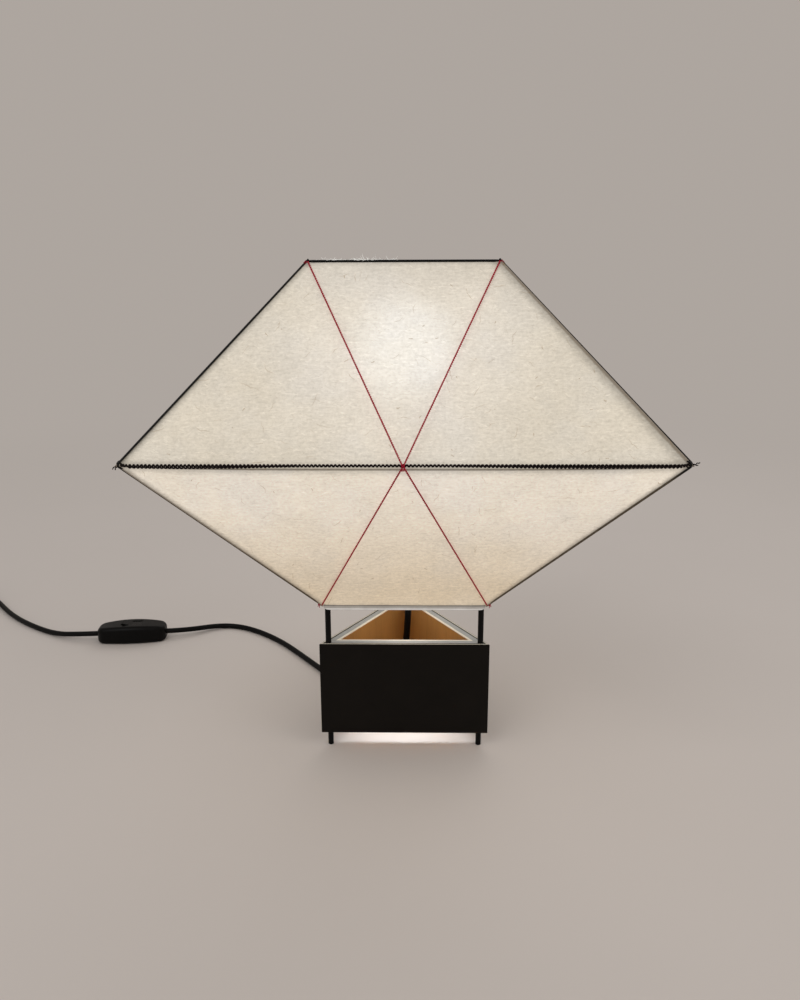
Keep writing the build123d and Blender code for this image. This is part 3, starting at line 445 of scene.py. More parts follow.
def hem_finish(shade):
    """Pale strip with a painted shadow along its top, a painted highlight along its rolled foot and a painted
    glow on its lower part.
    """
    paint = Paint("hem_strip", roughness=0.8, emission_strength=1.0)
    z = paint.height()
    height = paint.fade(z, HEM_BOTTOM, HEM_TOP)
    cloud = paint.noise(8 * MM, 4)
    hem_top_shadow = paint.fade(z, HEM_TOP - 1.7 * MM, HEM_TOP - 0.8 * MM)
    hem_foot_highlight = band(paint, z, HEM_BOTTOM + 0.5 * MM, HEM_BOTTOM + 1.7 * MM, 0.4 * MM)
    # Painted shadow under the hoop darkens the strip's top; a painted highlight lightens its rolled foot.
    tone = paint.tint(shade.hem, 0.80 + cloud * 0.3 - hem_top_shadow * 0.5 + hem_foot_highlight * 0.35)
    # Painted light: a glow on the strip's lower part and along its foot.
    lit = (1 - height) * cloud * 1.2 + hem_foot_highlight * 1.1
    paint.feed(base_color=tone, emission_color=paint.tint((0.115, 0.12, 0.125), lit))
    paint.relief(cloud, 0.3 * MM)
    return paint.material


def fray_finish():
    """Loose white fibres, with a painted glow of light on them."""
    # The emission colour is a painted glow of light on the fibres.
    paint = Paint("loose_fibre", roughness=0.7, emission_strength=1.0, emission_color=(0.22, 0.22, 0.21))
    cloud = paint.noise(3 * MM)
    paint.feed(base_color=paint.tint((0.86, 0.85, 0.82), 0.8 + cloud * 0.35))
    return paint.material


def cordage_finish(name, colour, roughness):
    """Twisted yarn: fine hairs and uneven dye."""
    paint = Paint(name, roughness=roughness, specular_ior_level=0.2)
    dye = paint.noise(6 * MM, 3)
    lint = paint.noise(0.25 * MM, 3, 0.7)
    paint.feed(base_color=paint.tint(colour, 0.6 + dye * 0.5 + lint * 0.4))
    paint.relief(lint, 0.12 * MM)
    return paint.material


def across_box(paint):
    """How far a point is from the lamp's axis towards the nearest of the box's three sides."""
    reaches = []
    for azimuth in FACES.values():
        normal = towards(math.radians(azimuth - 90))
        reaches.append(paint.measure("DOT_PRODUCT", paint.place(), normal))
    return paint.largest(*reaches)


def band(paint, value, low, high, soft):
    """1 between two values and 0 outside, with soft ends."""
    return paint.fade(value, low - soft, low + soft) * paint.fade(value, high + soft, high - soft)


def timber_finish(box):
    """Warm timber inside, with a pale layered upper edge."""
    paint = Paint("box_timber", specular_ior_level=0.35)
    z = paint.height()
    grain = paint.noise(2.2 * MM, 4, 0.6, drawn=(1, 1, 0.06))
    rings = paint.noise(14 * MM, 3, drawn=(1, 1, 0.10))
    pores = paint.noise(0.5 * MM, 2, drawn=(1, 1, 0.04))
    tone = paint.tint(box.timber, 0.62 + grain * 0.30 + rings * 0.40 - paint.fade(pores, 0.62, 0.72) * 0.22)
    depth = across_box(paint) - BOX_INNER
    top = paint.fade(z, BOX_TOP - 0.9 * MM, BOX_TOP - 0.6 * MM)
    cream = band(paint, depth, -1 * MM, 1.9 * MM, 0.25 * MM)
    dark = paint.fade(depth, 6.8 * MM, 7.2 * MM)
    ply = paint.tint(box.edge, 0.80 + paint.noise(3 * MM, 4) * 0.4)
    ply = paint.mix(cream, ply, (0.86, 0.81, 0.70))
    ply = paint.mix(dark, ply, (0.010, 0.009, 0.008))
    paint.feed(base_color=paint.mix(top, tone, ply), roughness=0.52 + grain * 0.2)
    paint.relief(grain * 0.6 + pores * 0.4, 0.15 * MM)
    return paint.material


def lacquer_finish(box):
    """Black lacquer over wood: faint grain, a warm cast and edges rubbed pale."""
    paint = Paint("black_lacquer", specular_ior_level=0.11)
    z = paint.height()
    grain = paint.noise(1.6 * MM, 4, 0.6, drawn=(0.08, 0.08, 1))
    cloud = paint.noise(30 * MM, 3)
    worn = paint.noise(2.5 * MM, 4, 0.7)
    depth = across_box(paint)
    rim_out = paint.fade(depth, BOX_OUTER - 0.40 * MM, BOX_OUTER - 0.15 * MM)
    near_top = paint.fade(z, BOX_TOP - 0.35 * MM, BOX_TOP - 0.1 * MM)
    near_foot = paint.fade(z, BOX_BOTTOM + 0.5 * MM, BOX_BOTTOM + 0.1 * MM)
    rub = (near_top * 0.5 + near_foot * 0.35) * paint.fade(worn, 0.42, 0.66) * rim_out
    inner_lip = near_top * paint.fade(depth, BOX_OUTER - 0.35 * MM, BOX_OUTER - 0.6 * MM)
    tone = paint.tint(box.lacquer, 0.55 + cloud * 0.9 + grain * 0.35)
    tone = paint.mix(rub, tone, (0.11, 0.085, 0.06))
    tone = paint.mix(inner_lip, tone, (0.70, 0.66, 0.57))
    paint.feed(base_color=tone, roughness=0.34 + worn * 0.16 + grain * 0.10)
    paint.relief(grain * 0.7 + worn * 0.3, 0.06 * MM)
    return paint.material


def enamel_finish(name, colour, grain_size=1.2 * MM):
    """Satin black enamel on steel, with fine orange peel and small bright nicks."""
    paint = Paint(name, specular_ior_level=0.12)
    peel = paint.noise(grain_size, 3)
    nick = paint.fade(paint.noise(4.5 * MM, 5, 0.75), 0.735, 0.775)
    tone = paint.mix(nick, paint.tint(colour, 0.6 + peel * 0.8), (0.30, 0.29, 0.28))
    paint.feed(base_color=tone, roughness=0.30 + peel * 0.22, metallic=nick * 0.8)
    paint.relief(peel, 0.05 * MM)
    return paint.material


def moulded_finish(name, colour, roughness, grain_size=0.45 * MM):
    """Moulded black plastic or rubber with a fine spark-eroded grain and handling marks."""
    paint = Paint(name, specular_ior_level=0.11)
    grain = paint.noise(grain_size, 2)
    smudge = paint.noise(14 * MM, 4, 0.6)
    paint.feed(
        base_color=paint.tint(colour, 0.7 + smudge * 0.5 + grain * 0.2),
        roughness=roughness + (smudge - 0.5) * 0.22 + (grain - 0.5) * 0.10,
    )
    paint.relief(grain, 0.05 * MM)
    return paint.material


def metal_finish(name, colour, roughness, drawn):
    """Bare or plated metal with marks drawn out along one axis."""
    paint = Paint(name, metallic=1.0)
    marks = paint.noise(0.6 * MM, 3, drawn=drawn)
    dull = paint.noise(9 * MM, 4)
    paint.feed(
        base_color=paint.tint(colour, 0.78 + dull * 0.28 + marks * 0.12),
        roughness=roughness + (marks - 0.5) * 0.18 + (dull - 0.5) * 0.12,
    )
    paint.relief(marks, 0.02 * MM)
    return paint.material


def rib_finish(box):
    """Black wire above the waist; below it, paper binding painted dark brown, as the pale paper looks where
    the wire blocks the light from inside.
    """
    paint = Paint("rib_wire", specular_ior_level=0.25)
    z = paint.height()
    peel = paint.noise(0.8 * MM, 3)
    shaded_binding = paint.fade(z, ROPE_HEIGHT - 3 * MM, ROPE_HEIGHT - 16 * MM)
    crumple = paint.noise(3.0 * MM, 4, 0.65, drawn=(1, 1, 0.4))
    # Painted shade: the binding's paper gets the dark brown that pale paper shows in the shadow of the wire
    # it covers.
    paper = paint.tint((0.105, 0.082, 0.055), 0.35 + crumple * 1.3)
    paint.feed(
        base_color=paint.mix(shaded_binding, paint.tint(box.steel, 0.6 + peel * 0.8), paper),
        roughness=0.34 + shaded_binding * 0.5,
    )
    paint.relief(peel * 0.3 + crumple * shaded_binding, 0.15 * MM)
    return paint.material


def ceramic_finish():
    paint = Paint("white_ceramic", specular_ior_level=0.4)
    grain = paint.noise(1.0 * MM, 4)
    paint.feed(base_color=paint.tint((0.84, 0.83, 0.79), 0.85 + grain * 0.25), roughness=0.45 + grain * 0.2)
    paint.relief(grain, 0.05 * MM)
    return paint.material


def opal_finish():
    """Opal glass, lit: brightest round its middle."""
    paint = Paint("opal_glass", roughness=0.25, emission_strength=1.0)
    z = paint.height()
    top = span("bulb_glass", Z)[1]
    centre = top - extent("bulb_glass", X) / 2
    glow = paint.fade(abs(z - centre), 48 * MM, 4 * MM)
    cloud = paint.noise(10 * MM, 3)
    paint.feed(
        base_color=paint.tint((0.85, 0.83, 0.78), 0.9 + cloud * 0.15),
        emission_color=paint.mix(glow, (0.42, 0.35, 0.24), (0.95, 0.88, 0.72)),
    )
    return paint.material


def black_glass_finish():
    paint = Paint("black_glass", specular_ior_level=0.6)
    cloud = paint.noise(3 * MM, 3)
    paint.feed(base_color=paint.tint((0.014, 0.014, 0.017), 0.7 + cloud * 0.6), roughness=0.10 + cloud * 0.12)
    return paint.material


def paint_nodes(material, *names):
    """Give solids of the frame a finish."""
    for name in names:
        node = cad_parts[name]
        if not node.material_slots:
            node.data.materials.append(material)
        for slot in node.material_slots:
            slot.material = material


def put(name, data):
    """A new object in the scene."""
    made = bpy.data.objects.new(name, data)
    bpy.context.scene.collection.objects.link(made)
    return made


def make_piece(name, shape, material, slot, *stands_for):
    """Put a mesh, a curve or worked-on geometry in the scene as a piece of the lamp's own body."""
    piece = put(name, mesh_of(name, shape) if isinstance(shape, bmesh.types.BMesh) else shape)
    piece.data.materials.append(material)
    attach(piece, "lamp")
    if stands_for:
        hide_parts(*stands_for)
    return piece


def mesh_of(name, work, smooth=True):
    """A mesh from worked-on geometry, which is freed."""
    bmesh.ops.recalc_face_normals(work, faces=work.faces)
    for face in work.faces:
        face.smooth = smooth
    mesh = bpy.data.meshes.new(name)
    work.to_mesh(mesh)
    work.free()
    return mesh


def spin(azimuth):
    return Matrix.Rotation(math.radians(azimuth), 4, "Z")


def resample(points, step, closed=False):
    """Points at even steps along straight runs."""
    route = list(points) + ([points[0]] if closed else [])
    made = []
    for start, end in zip(route, route[1:]):
        count = max(1, round((end - start).length / step))
        made += [start.lerp(end, i / count) for i in range(count)]
    return made if closed else made + [route[-1]]


def around(side, other, turn):
    """The direction at an angle from one of two crossed vectors towards the other."""
    return side * math.cos(turn) + other * math.sin(turn)


def skin(work, rings, closed=False):
    """Faces between rings of points, and over both ends unless the last ring joins the first."""
    pairs = list(zip(rings, rings[1:])) + ([(rings[-1], rings[0])] if closed else [])
    for near, far in pairs:
        for k in range(len(near)):
            after = (k + 1) % len(near)
            work.faces.new((near[k], near[after], far[after], far[k]))
    if not closed:
        work.faces.new(rings[0])
        work.faces.new(list(reversed(rings[-1])))


def carried_frames(points, closed):
    """A sideways vector at each point, carried along the line without twist."""
    count = len(points)
    ways = []
    for i in range(count):
        before = points[i - 1] if closed or i else points[i]
        after = points[(i + 1) % count] if closed or i < count - 1 else points[i]
        ways.append((after - before).normalized())
    side = ways[0].orthogonal().normalized()
    frames = []
    for way in ways:
        side = (side - way * side.dot(way)).normalized()
        frames.append((way, side))
    return frames


def add_strand(work, points, radius, sides=6, closed=False, taper=False):
    """A round strand along points, added to the geometry; a tapered one ends in fine points."""
    frames = carried_frames(points, closed)
    rings = []
    for i, (point, (way, side)) in enumerate(zip(points, frames)):
        other = way.cross(side)
        share = 1.0
        if taper:
            share = 0.25 + 0.75 * math.sin(math.pi * (i + 0.35) / (len(points) - 0.3))
        ring = []
        for k in range(sides):
            offset = around(side, other, math.tau * k / sides) * radius * share
            ring.append(work.verts.new(point + offset))
        rings.append(ring)
    skin(work, rings, closed)


def add_yarn(work, route, size, pitch, plies=2, per_turn=8, sides=6, closed=False, share=0.22):
    """Twisted strands round a line: plied yarn or rope of the given thickness.

    The share is a strand's radius to the whole thickness.
    """
    points = resample(route, pitch / per_turn, closed)
    frames = carried_frames(points, closed)
    strand = size * share
    reach = size / 2 - strand
    turns = max(1, round(len(points) / per_turn))
    for ply in range(plies):
        line = []
        for i, (point, (way, side)) in enumerate(zip(points, frames)):
            turn = math.tau * (turns * i / len(points) + ply / plies)
            line.append(point + around(side, way.cross(side), turn) * reach)
        add_strand(work, line, strand, sides, closed)


# Radius of the rope's one wound strand, as a share of the rope's thickness
WINDING_SHARE = 0.28


def add_rope(work, route, size, pitch, closed=False):
    """A rope whose one strand is wound round its middle."""
    add_yarn(work, route, size, pitch, 1, closed=closed, share=WINDING_SHARE)


def add_thread(work, turn, route, size, pitch):
    """Thread of two strands along a route that is turned into place."""
    add_yarn(work, [turn @ point for point in route], size, pitch, per_turn=6, sides=5)


def rounded_triangle(inradius, bend, height, steps=10):
    """Corners' arcs of a three-sided ring, anticlockwise from the left corner."""
    points = []
    reach = 2 * (inradius - bend)
    for azimuth in CORNERS.values():
        corner = math.radians(azimuth)
        centre = Vector((reach * math.cos(corner), reach * math.sin(corner), height))
        for i in range(steps + 1):
            turn = corner + math.radians(-60 + 120 * i / steps)
            points.append(centre + towards(turn) * bend)
    return points


def coil_points():
    """The put-away turns: they spiral in on the table, climb over the half turn and spiral out on top."""
    sweep = math.tau * COIL_TURNS
    half = sweep / 2
    growth = COIL_PITCH / math.tau
    inner = COIL_MEAN / 2 - COIL_PITCH * COIL_TURNS / 4
    outer = COIL_MEAN / 2 + COIL_PITCH * COIL_TURNS / 4
    heading = math.radians(COIL_HEADING)
    centre = Vector((*COIL_START, 0)) + Vector((-math.sin(heading), math.cos(heading), 0)) * outer
    count = round(COIL_TURNS * COIL_POINTS_PER_TURN)
    points = []
    for i in range(count + 1):
        angle = sweep * i / count
        radius = inner + growth * abs(angle - half)
        climb = min(max((angle - half) / math.pi + 0.5, 0), 1)
        height = COIL_LOW + COIL_PITCH * (1 - math.cos(math.pi * climb)) / 2
        azimuth = heading - math.pi / 2 + angle
        points.append(centre + towards(azimuth) * radius + Vector((0, 0, height)))
    into, out = towards(heading), towards(heading + sweep)
    end = points[-1]
    return [points[0] - into * COIL_LEAD_IN] + points + [end + out * (COIL_TAIL / 2), end + out * COIL_TAIL]


def lead_curve(name, points, size, material, *stands_for):
    """A round lead on one smooth curve."""
    curve = bpy.data.curves.new(name, "CURVE")
    curve.dimensions = "3D"
    curve.bevel_depth = size / 2
    curve.bevel_resolution = 5
    curve.resolution_u = 6
    curve.use_fill_caps = True
    spline = curve.splines.new("NURBS")
    spline.points.add(len(points) - 1)
    for knot, point in zip(spline.points, points):
        knot.co = (*(Vector(point) * MM), 1)
    spline.order_u = 3
    spline.use_endpoint_u = True
    return make_piece(name, curve, material, "lead_sheath", *stands_for)


class LAMP_OT_leads(Operator):
    """Lay the lead from the lamp holder to the switch, and from there to its coil and plug"""

    bl_idname = "paper_lamp.leads"
    bl_label = "Lay the Lead"

    def execute(self, context):
        lead = context.scene.paper_lamp.lead
        sheath = moulded_finish("lead_sheath", lead.sheath, 0.42, 0.7 * MM)
        lamp_side = lead_curve("lead_lamp_side", LAMP_LEAD_ROUTE, lead.size, sheath, "lamp_lead")
        plug_route = PLUG_LEAD_ROUTE + coil_points()
        plug_side = lead_curve("lead_plug_side", plug_route, lead.size, sheath, "plug_lead", "cord_coil")
        return {"FINISHED"}


class LAMP_OT_switch(Operator):
    """Finish the in-line switch and the plug"""

    bl_idname = "paper_lamp.switch"
    bl_label = "Finish the Switch and Plug"

    def execute(self, context):
        lead = context.scene.paper_lamp.lead
        case = moulded_finish("switch_moulding", lead.moulding, 0.36, 0.5 * MM)
        rocker = moulded_finish("rocker_moulding", lead.moulding, 0.28, 0.35 * MM)
        rubber = moulded_finish("plug_rubber", lead.moulding, 0.52, 0.4 * MM)
        paint_nodes(case, "switch_lower_case", "switch_upper_case")
        paint_nodes(rocker, "switch_rocker")
        paint_nodes(rubber, "plug_relief", "plug_body")
        paint_nodes(moulded_finish("tie_band", (0.02, 0.02, 0.021), 0.45), "cord_tie")
        paint_nodes(metal_finish("pin_nickel", (0.74, 0.73, 0.70), 0.22, (1, 0.1, 1)), "plug_pins")
        return {"FINISHED"}


# The sheets' mesh, whose rows are closer near the hoop, and the widths over which they are drawn to the ribs,
# held by them, held by the other two rims and humped over the lower hoop
SHEET_COLUMNS, SHEET_ROWS, ROW_POWER = 64, 34, 1.25
DRAWN_WIDTH, HELD_WIDTH, RIM_WIDTH, HUMP_WIDTH = 14 * MM, 12 * MM, 8 * MM, 7 * MM
# Waves of the unevenness in a metre, and its step and the pattern's from one sheet to the next
RIPPLE_SCALE, RIPPLE_STEP, PATTERN_STEP = 22, 7.3, (0.613, 0.271)
# Where the paper laps over a rib: its width, lift, reach and fading end, and the share of the distance to the
# rib that then counts for the rib's shade
LAP_WIDTH, LAP_LIFT, LAP_REACH, LAP_END = 6 * MM, RIB_WIRE * 0.62, RIB_WIRE * -0.15, 45 * MM
LAP_SHADE = 0.62


def rib_leg(half):
    """Two points of a rib's leg in the plane of its corner: beside its hoop, and where it reaches its eye."""
    hoop = Vector((HOOP_CORNER[half], 0, HOOP_HEIGHT[half]))
    eye = Vector((EYE_REACH, 0, ROPE_HEIGHT))
    way = (eye - hoop).normalized()
    out = Vector((abs(way.z), 0, way.x if half == "upper" else -way.x))
    return hoop + out * ((HOOP_WIRE + RIB_WIRE) / 2), eye + out * EYE_RADIUS


def sheet_mesh(name, azimuth, half, number, shade, laps):
    """One trapezoid of paper from a hoop to the crease, slightly uneven, with its rims' distances.

    Its sides are drawn out, or in, to the middle of the ribs. One that laps goes over its right rib.
    """
    side_way = towards(math.radians(-30))
    inradius = HOOP_INRADIUS[half]
    start = Vector((0, -inradius, HOOP_HEIGHT[half]))
    slope = Vector((0, -CREASE_INRADIUS, CREASE_HEIGHT)) - start
    way = slope.normalized()
    outward = Vector((0, way.z, -way.y))
    outward = outward if outward.y < 0 else -outward
    flare = ROOT_3 * (CREASE_INRADIUS - inradius) / slope.length
    lean = math.sqrt(1 + flare * flare)
    rib_start, rib_end = rib_leg(half)
    over_hoop = HOOP_WIRE / 2 + 0.25 * MM if half == "lower" else 0
    near = -0.6 * MM if half == "lower" else HOOP_WIRE / 2 - 0.1 * MM
    far = slope.length - 0.1 * MM
    turn = spin(azimuth)
    work = bmesh.new()
    places, rims, grid = [], [], []
    for row in range(SHEET_ROWS + 1):
        down = near + (far - near) * (row / SHEET_ROWS) ** ROW_POWER
        half_width = ROOT_3 * inradius + flare * down
        along_rib = (start.z + way.z * down - rib_start.z) / (rib_end.z - rib_start.z)
        drawn = rib_start.x + (rib_end.x - rib_start.x) * along_rib - half_width * 2 / ROOT_3
        hump = over_hoop * max(0, 1 - max(down, 0) / HUMP_WIDTH) ** 2
        line = []
        for column in range(SHEET_COLUMNS + 1):
            x = half_width * (2 * column / SHEET_COLUMNS - 1)
            lapped = laps and x > 0
            rib_gap = (half_width - abs(x)) / lean
            loose = min(1, rib_gap / HELD_WIDTH) * min(1, (down - near) / RIM_WIDTH)
            loose *= min(1, (far - down) / RIM_WIDTH)
            seed = Vector((x * RIPPLE_SCALE, down * RIPPLE_SCALE, number * RIPPLE_STEP))
            lift = noise.noise(seed) * shade.ripple * loose + hump
            sink = shade.sag * (1 - (x / half_width) ** 4) * ((down - near) / (far - near)) ** 2
            place = start + way * down + Vector((x, 0, -sink)) + outward * lift
            lap = 0
            if lapped:
                lap = max(0, 1 - rib_gap / LAP_WIDTH) ** 2 * min(1, (far - down) / LAP_END)
            place += outward * (LAP_LIFT * lap)
            pull = side_way * (drawn * max(0, 1 - rib_gap / DRAWN_WIDTH) ** 2 + LAP_REACH * lap)
            place += Vector((pull.x if x > 0 else -pull.x, pull.y, 0))
            line.append(work.verts.new(turn @ place))
            places.append((x + number * PATTERN_STEP[X], down + number * PATTERN_STEP[Y], 0))
            rims.append((rib_gap * (LAP_SHADE if lapped else 1), down - near, far - down))
        grid.append(line)
    for upper, lower in zip(grid, grid[1:]):
        for a, b, c, d in zip(upper, upper[1:], lower[1:], lower):
            work.faces.new((a, b, c, d))
    width = (grid[-1][-1].co - grid[-1][0].co).length
    centre = SHEET_COLUMNS // 2
    length = sum((a[centre].co - b[centre].co).length for a, b in zip(grid, grid[1:]))
    area = sum(face.calc_area() for face in work.faces)
    mesh = mesh_of(name, work)
    for label, values in (("sheet_place", places), ("rim_distance", rims)):
        layer = mesh.attributes.new(label, "FLOAT_VECTOR", "POINT")
        layer.data.foreach_set("vector", [v for row in values for v in row])
    return mesh, width, length, area


class LAMP_OT_paper(Operator):
    """Cut and stretch the six sheets of paper"""

    bl_idname = "paper_lamp.paper"
    bl_label = "Stretch the Paper"

    def execute(self, context):
        shade = context.scene.paper_lamp.shade
        number = 0
        for half, hoop in HOOPS.items():
            finish = paper_finish(f"paper_{half}", shade, half == "lower")
            for face, azimuth in FACES.items():
                number += 1
                laps = (half, face) == ("upper", "front")
                name = f"sheet_{half}_{face}"
                mesh, width, length, area = sheet_mesh(name, azimuth, half, number, shade, laps)
                piece = make_piece(name, mesh, finish, "shade_paper", f"paper_{half}_{face}")
                solid = piece.modifiers.new("thickness", "SOLIDIFY")
                solid.thickness = shade.thickness
                solid.offset = 0
        return {"FINISHED"}


def hem_shape(azimuth, number):
    """A strip in front of the lower hoop, rolled under at its lower edge, with ends cut back."""
    columns, thickness, taper, taper_run = 60, 0.5 * MM, 1.6 * MM, 5.0 * MM
    wave_scale, wave_step, wave_depth = 30, 5.1, 0.25
    turn = spin(azimuth)
    work = bmesh.new()
    rings = []
    for column in range(columns + 1):
        x = HEM_HALF * (2 * column / columns - 1)
        cut = max(0, 1 - (HEM_HALF - abs(x)) / taper_run)
        foot = HEM_BOTTOM + taper * cut * cut
        wave = noise.noise(Vector((x * wave_scale, number * wave_step, 0))) * wave_depth * MM
        profile = [
            (0, HEM_TOP), (-0.55, HEM_TOP - 0.3 * MM), (-1, HEM_TOP - 1.0 * MM), (-1.2, (HEM_TOP + foot) / 2),
            (-1, foot + 0.5 * MM), (-0.6, foot + 0.1 * MM), (-0.2, foot), (0, foot + 0.3 * MM),
        ]
        ring = []
        for depth, z in profile:
            y = HEM_BACK + depth * thickness + wave * min(1, -depth)
            ring.append(work.verts.new(turn @ Vector((x, y, z))))
        rings.append(ring)
    skin(work, rings)
    return work


class LAMP_OT_hems(Operator):
    """Fold the paper strips over the lower hoop"""

    bl_idname = "paper_lamp.hems"
    bl_label = "Fold the Hems"

    def execute(self, context):
        finish = hem_finish(context.scene.paper_lamp.shade)
        for number, (face, azimuth) in enumerate(FACES.items()):
            make_piece(f"hem_{face}", hem_shape(azimuth, number), finish, "hem_paper", f"paper_hem_{face}")
        return {"FINISHED"}


class LAMP_OT_frays(Operator):
    """Let loose fibres stand out of the front sheet's top edge"""

    bl_idname = "paper_lamp.frays"
    bl_label = "Fray the Top Edge"

    def execute(self, context):
        draw = random.Random(11)
        work = bmesh.new()
        base = Vector((0, -HOOP_INRADIUS["upper"] - 0.2 * MM, HOOP_HEIGHT["upper"] + HOOP_WIRE / 2))
        left, right = -67 * MM, -6 * MM
        for _ in range(context.scene.paper_lamp.shade.fray_count):
            share = draw.gauss(0.56, 0.05) if draw.random() < 0.25 else draw.random()
            stands = draw.random() < 0.10
            length = draw.uniform(2.4, 4.2) * MM if stands else draw.uniform(1.2, 3.0) * MM
            rise = draw.uniform(35, 75) if stands else draw.uniform(-6, 30)
            heading = draw.choice((-1, 1))
            start = base + Vector((left + (right - left) * share, draw.uniform(-0.7, 0.9) * MM, 0))
            start.z += draw.uniform(-0.35, 0.15) * MM
            lean = math.radians(rise)
            way = Vector((heading * math.cos(lean), draw.uniform(-0.25, 0.25), math.sin(lean)))
            curl = Vector((0, draw.uniform(-0.4, 0.4), draw.uniform(-0.55, 0.25)))
            line = [start + way * length * t + curl * length * t * t for t in (0, 0.25, 0.5, 0.75, 1)]
            add_strand(work, line, draw.uniform(0.10, 0.20) * MM, 4, taper=True)
        make_piece("frayed_fibres", work, fray_finish(), "shade_paper")
        return {"FINISHED"}


def ring_points(centre, axis, radius, turns, rise, per_turn=14):
    """Turns wound round an axis, moving along it."""
    side = axis.orthogonal().normalized()
    other = axis.cross(side)
    count = round(turns * per_turn)
    points = []
    for i in range(count + 1):
        turn = math.tau * i / per_turn
        along = axis * (rise * (i / count - 0.5))
        points.append(centre + along + around(side, other, turn) * radius)
    return points


# Rope ends that stand out at the corners: reach and rise in mm
ROPE_ENDS = {"right": ((6.8, 2.6), (5.8, 0.6)), "left": ((3.4, -3.4), (5.2, -2.6)), "back": ((4.0, -1.5),)}
# Second lengths beside the rope on the front: side, length in mm and share of the drop below
ROPE_SPLICES = ((-1, 125, 1.0), (1, 165, 0.9))
# Their course: share of the length, then how far they lie in front of the rope and below it in mm
SPLICE_COURSE = ((0, 0.5, 0.9), (0.3, 0.8, 1.3), (0.6, 0.8, 1.0), (1, 0.2, 0))


class LAMP_OT_rope(Operator):
    """Lay the wound rope round the waist, with its spliced ends at the corners"""

    bl_idname = "paper_lamp.rope"
    bl_label = "Lay the Waist Rope"

    def execute(self, context):
        cordage = context.scene.paper_lamp.cordage
        finish = cordage_finish("waist_rope", cordage.rope, 0.72)
        work = bmesh.new()
        loop = rounded_triangle(ROPE_INRADIUS, ROPE_BEND, ROPE_HEIGHT)
        add_rope(work, loop, cordage.rope_size, cordage.rope_pitch, closed=True)
        make_piece("waist_rope", work, finish, "waist_rope", "waist_cord")
        work = bmesh.new()
        pitch = cordage.rope_pitch
        level = Vector((0, 0, ROPE_HEIGHT))
        for corner, ends in ROPE_ENDS.items():
            out = towards(math.radians(CORNERS[corner]))
            tip = out * (2 * ROPE_INRADIUS - ROPE_BEND + ROPE / 2) + level
            axis = out.cross(Vector((0, 0, 1)))
            wound = ring_points(out * EYE_REACH + level, axis, radius=ROPE * 0.55, turns=2.4, rise=2.4 * MM)
            add_rope(work, wound, ROPE * 0.9, pitch)
            for reach, rise in ends:
                tail = [tip, tip + Vector((0, 0, rise * 0.3 * MM)) + out * (reach * 0.5 * MM),
                        tip + Vector((0, 0, rise * MM)) + out * (reach * MM)]
                add_rope(work, tail, ROPE * 0.62, pitch)
        for side, length, depth in ROPE_SPLICES:
            begin = side * (ROOT_3 * (ROPE_INRADIUS - ROPE_BEND) + 0.5 * MM)
            spliced = []
            for share, forward, drop in SPLICE_COURSE:
                x = begin - side * length * MM * share
                spliced.append(Vector((x, -ROPE_INRADIUS - forward * MM, ROPE_HEIGHT - drop * depth * MM)))
            add_rope(work, spliced, ROPE * 1.1, pitch)
        make_piece("waist_rope_ends", work, finish, "waist_rope")
        return {"FINISHED"}


def tie_place(half):
    """Distance from the axis and height of the corner ties' middle, and their rib's way from there."""
    low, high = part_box(TIES[half])
    place = Vector((high.y - TIE_REACH, 0, (low.z + high.z) / 2))
    way = (Vector((EYE_REACH, 0, ROPE_HEIGHT)) - place).normalized()
    place -= way * TIE_RISE
    return place.x, place.z, way


def thread_end(half, side):
    """Where a thread of the front face leaves its corner tie."""
    reach, height, _ = tie_place(half)
    inradius = HOOP_INRADIUS[half]
    slope = (CREASE_INRADIUS - inradius) / abs(HOOP_HEIGHT[half] - CREASE_HEIGHT)
    paper_y = -inradius - slope * abs(HOOP_HEIGHT[half] - height)
    x = reach * math.cos(math.radians(30)) - 1.3 * MM
    return Vector((side * x, min(paper_y - 1.0 * MM, -reach / 2 - 1.0 * MM), height))


def thread_route(side, size):
    """One thread of the front face from its upper corner over the waist rope to its lower corner."""
    beside = 1.2 * MM
    front = -ROPE_INRADIUS - ROPE / 2 - size * 0.6
    return [
        thread_end("upper", side),
        Vector((side * beside, front, ROPE_HEIGHT + 2.0 * MM)),
        Vector((side * beside * 0.4, front - 0.1 * MM, ROPE_HEIGHT)),
        Vector((side * beside, front, ROPE_HEIGHT - 2.0 * MM)),
        thread_end("lower", side),
    ]


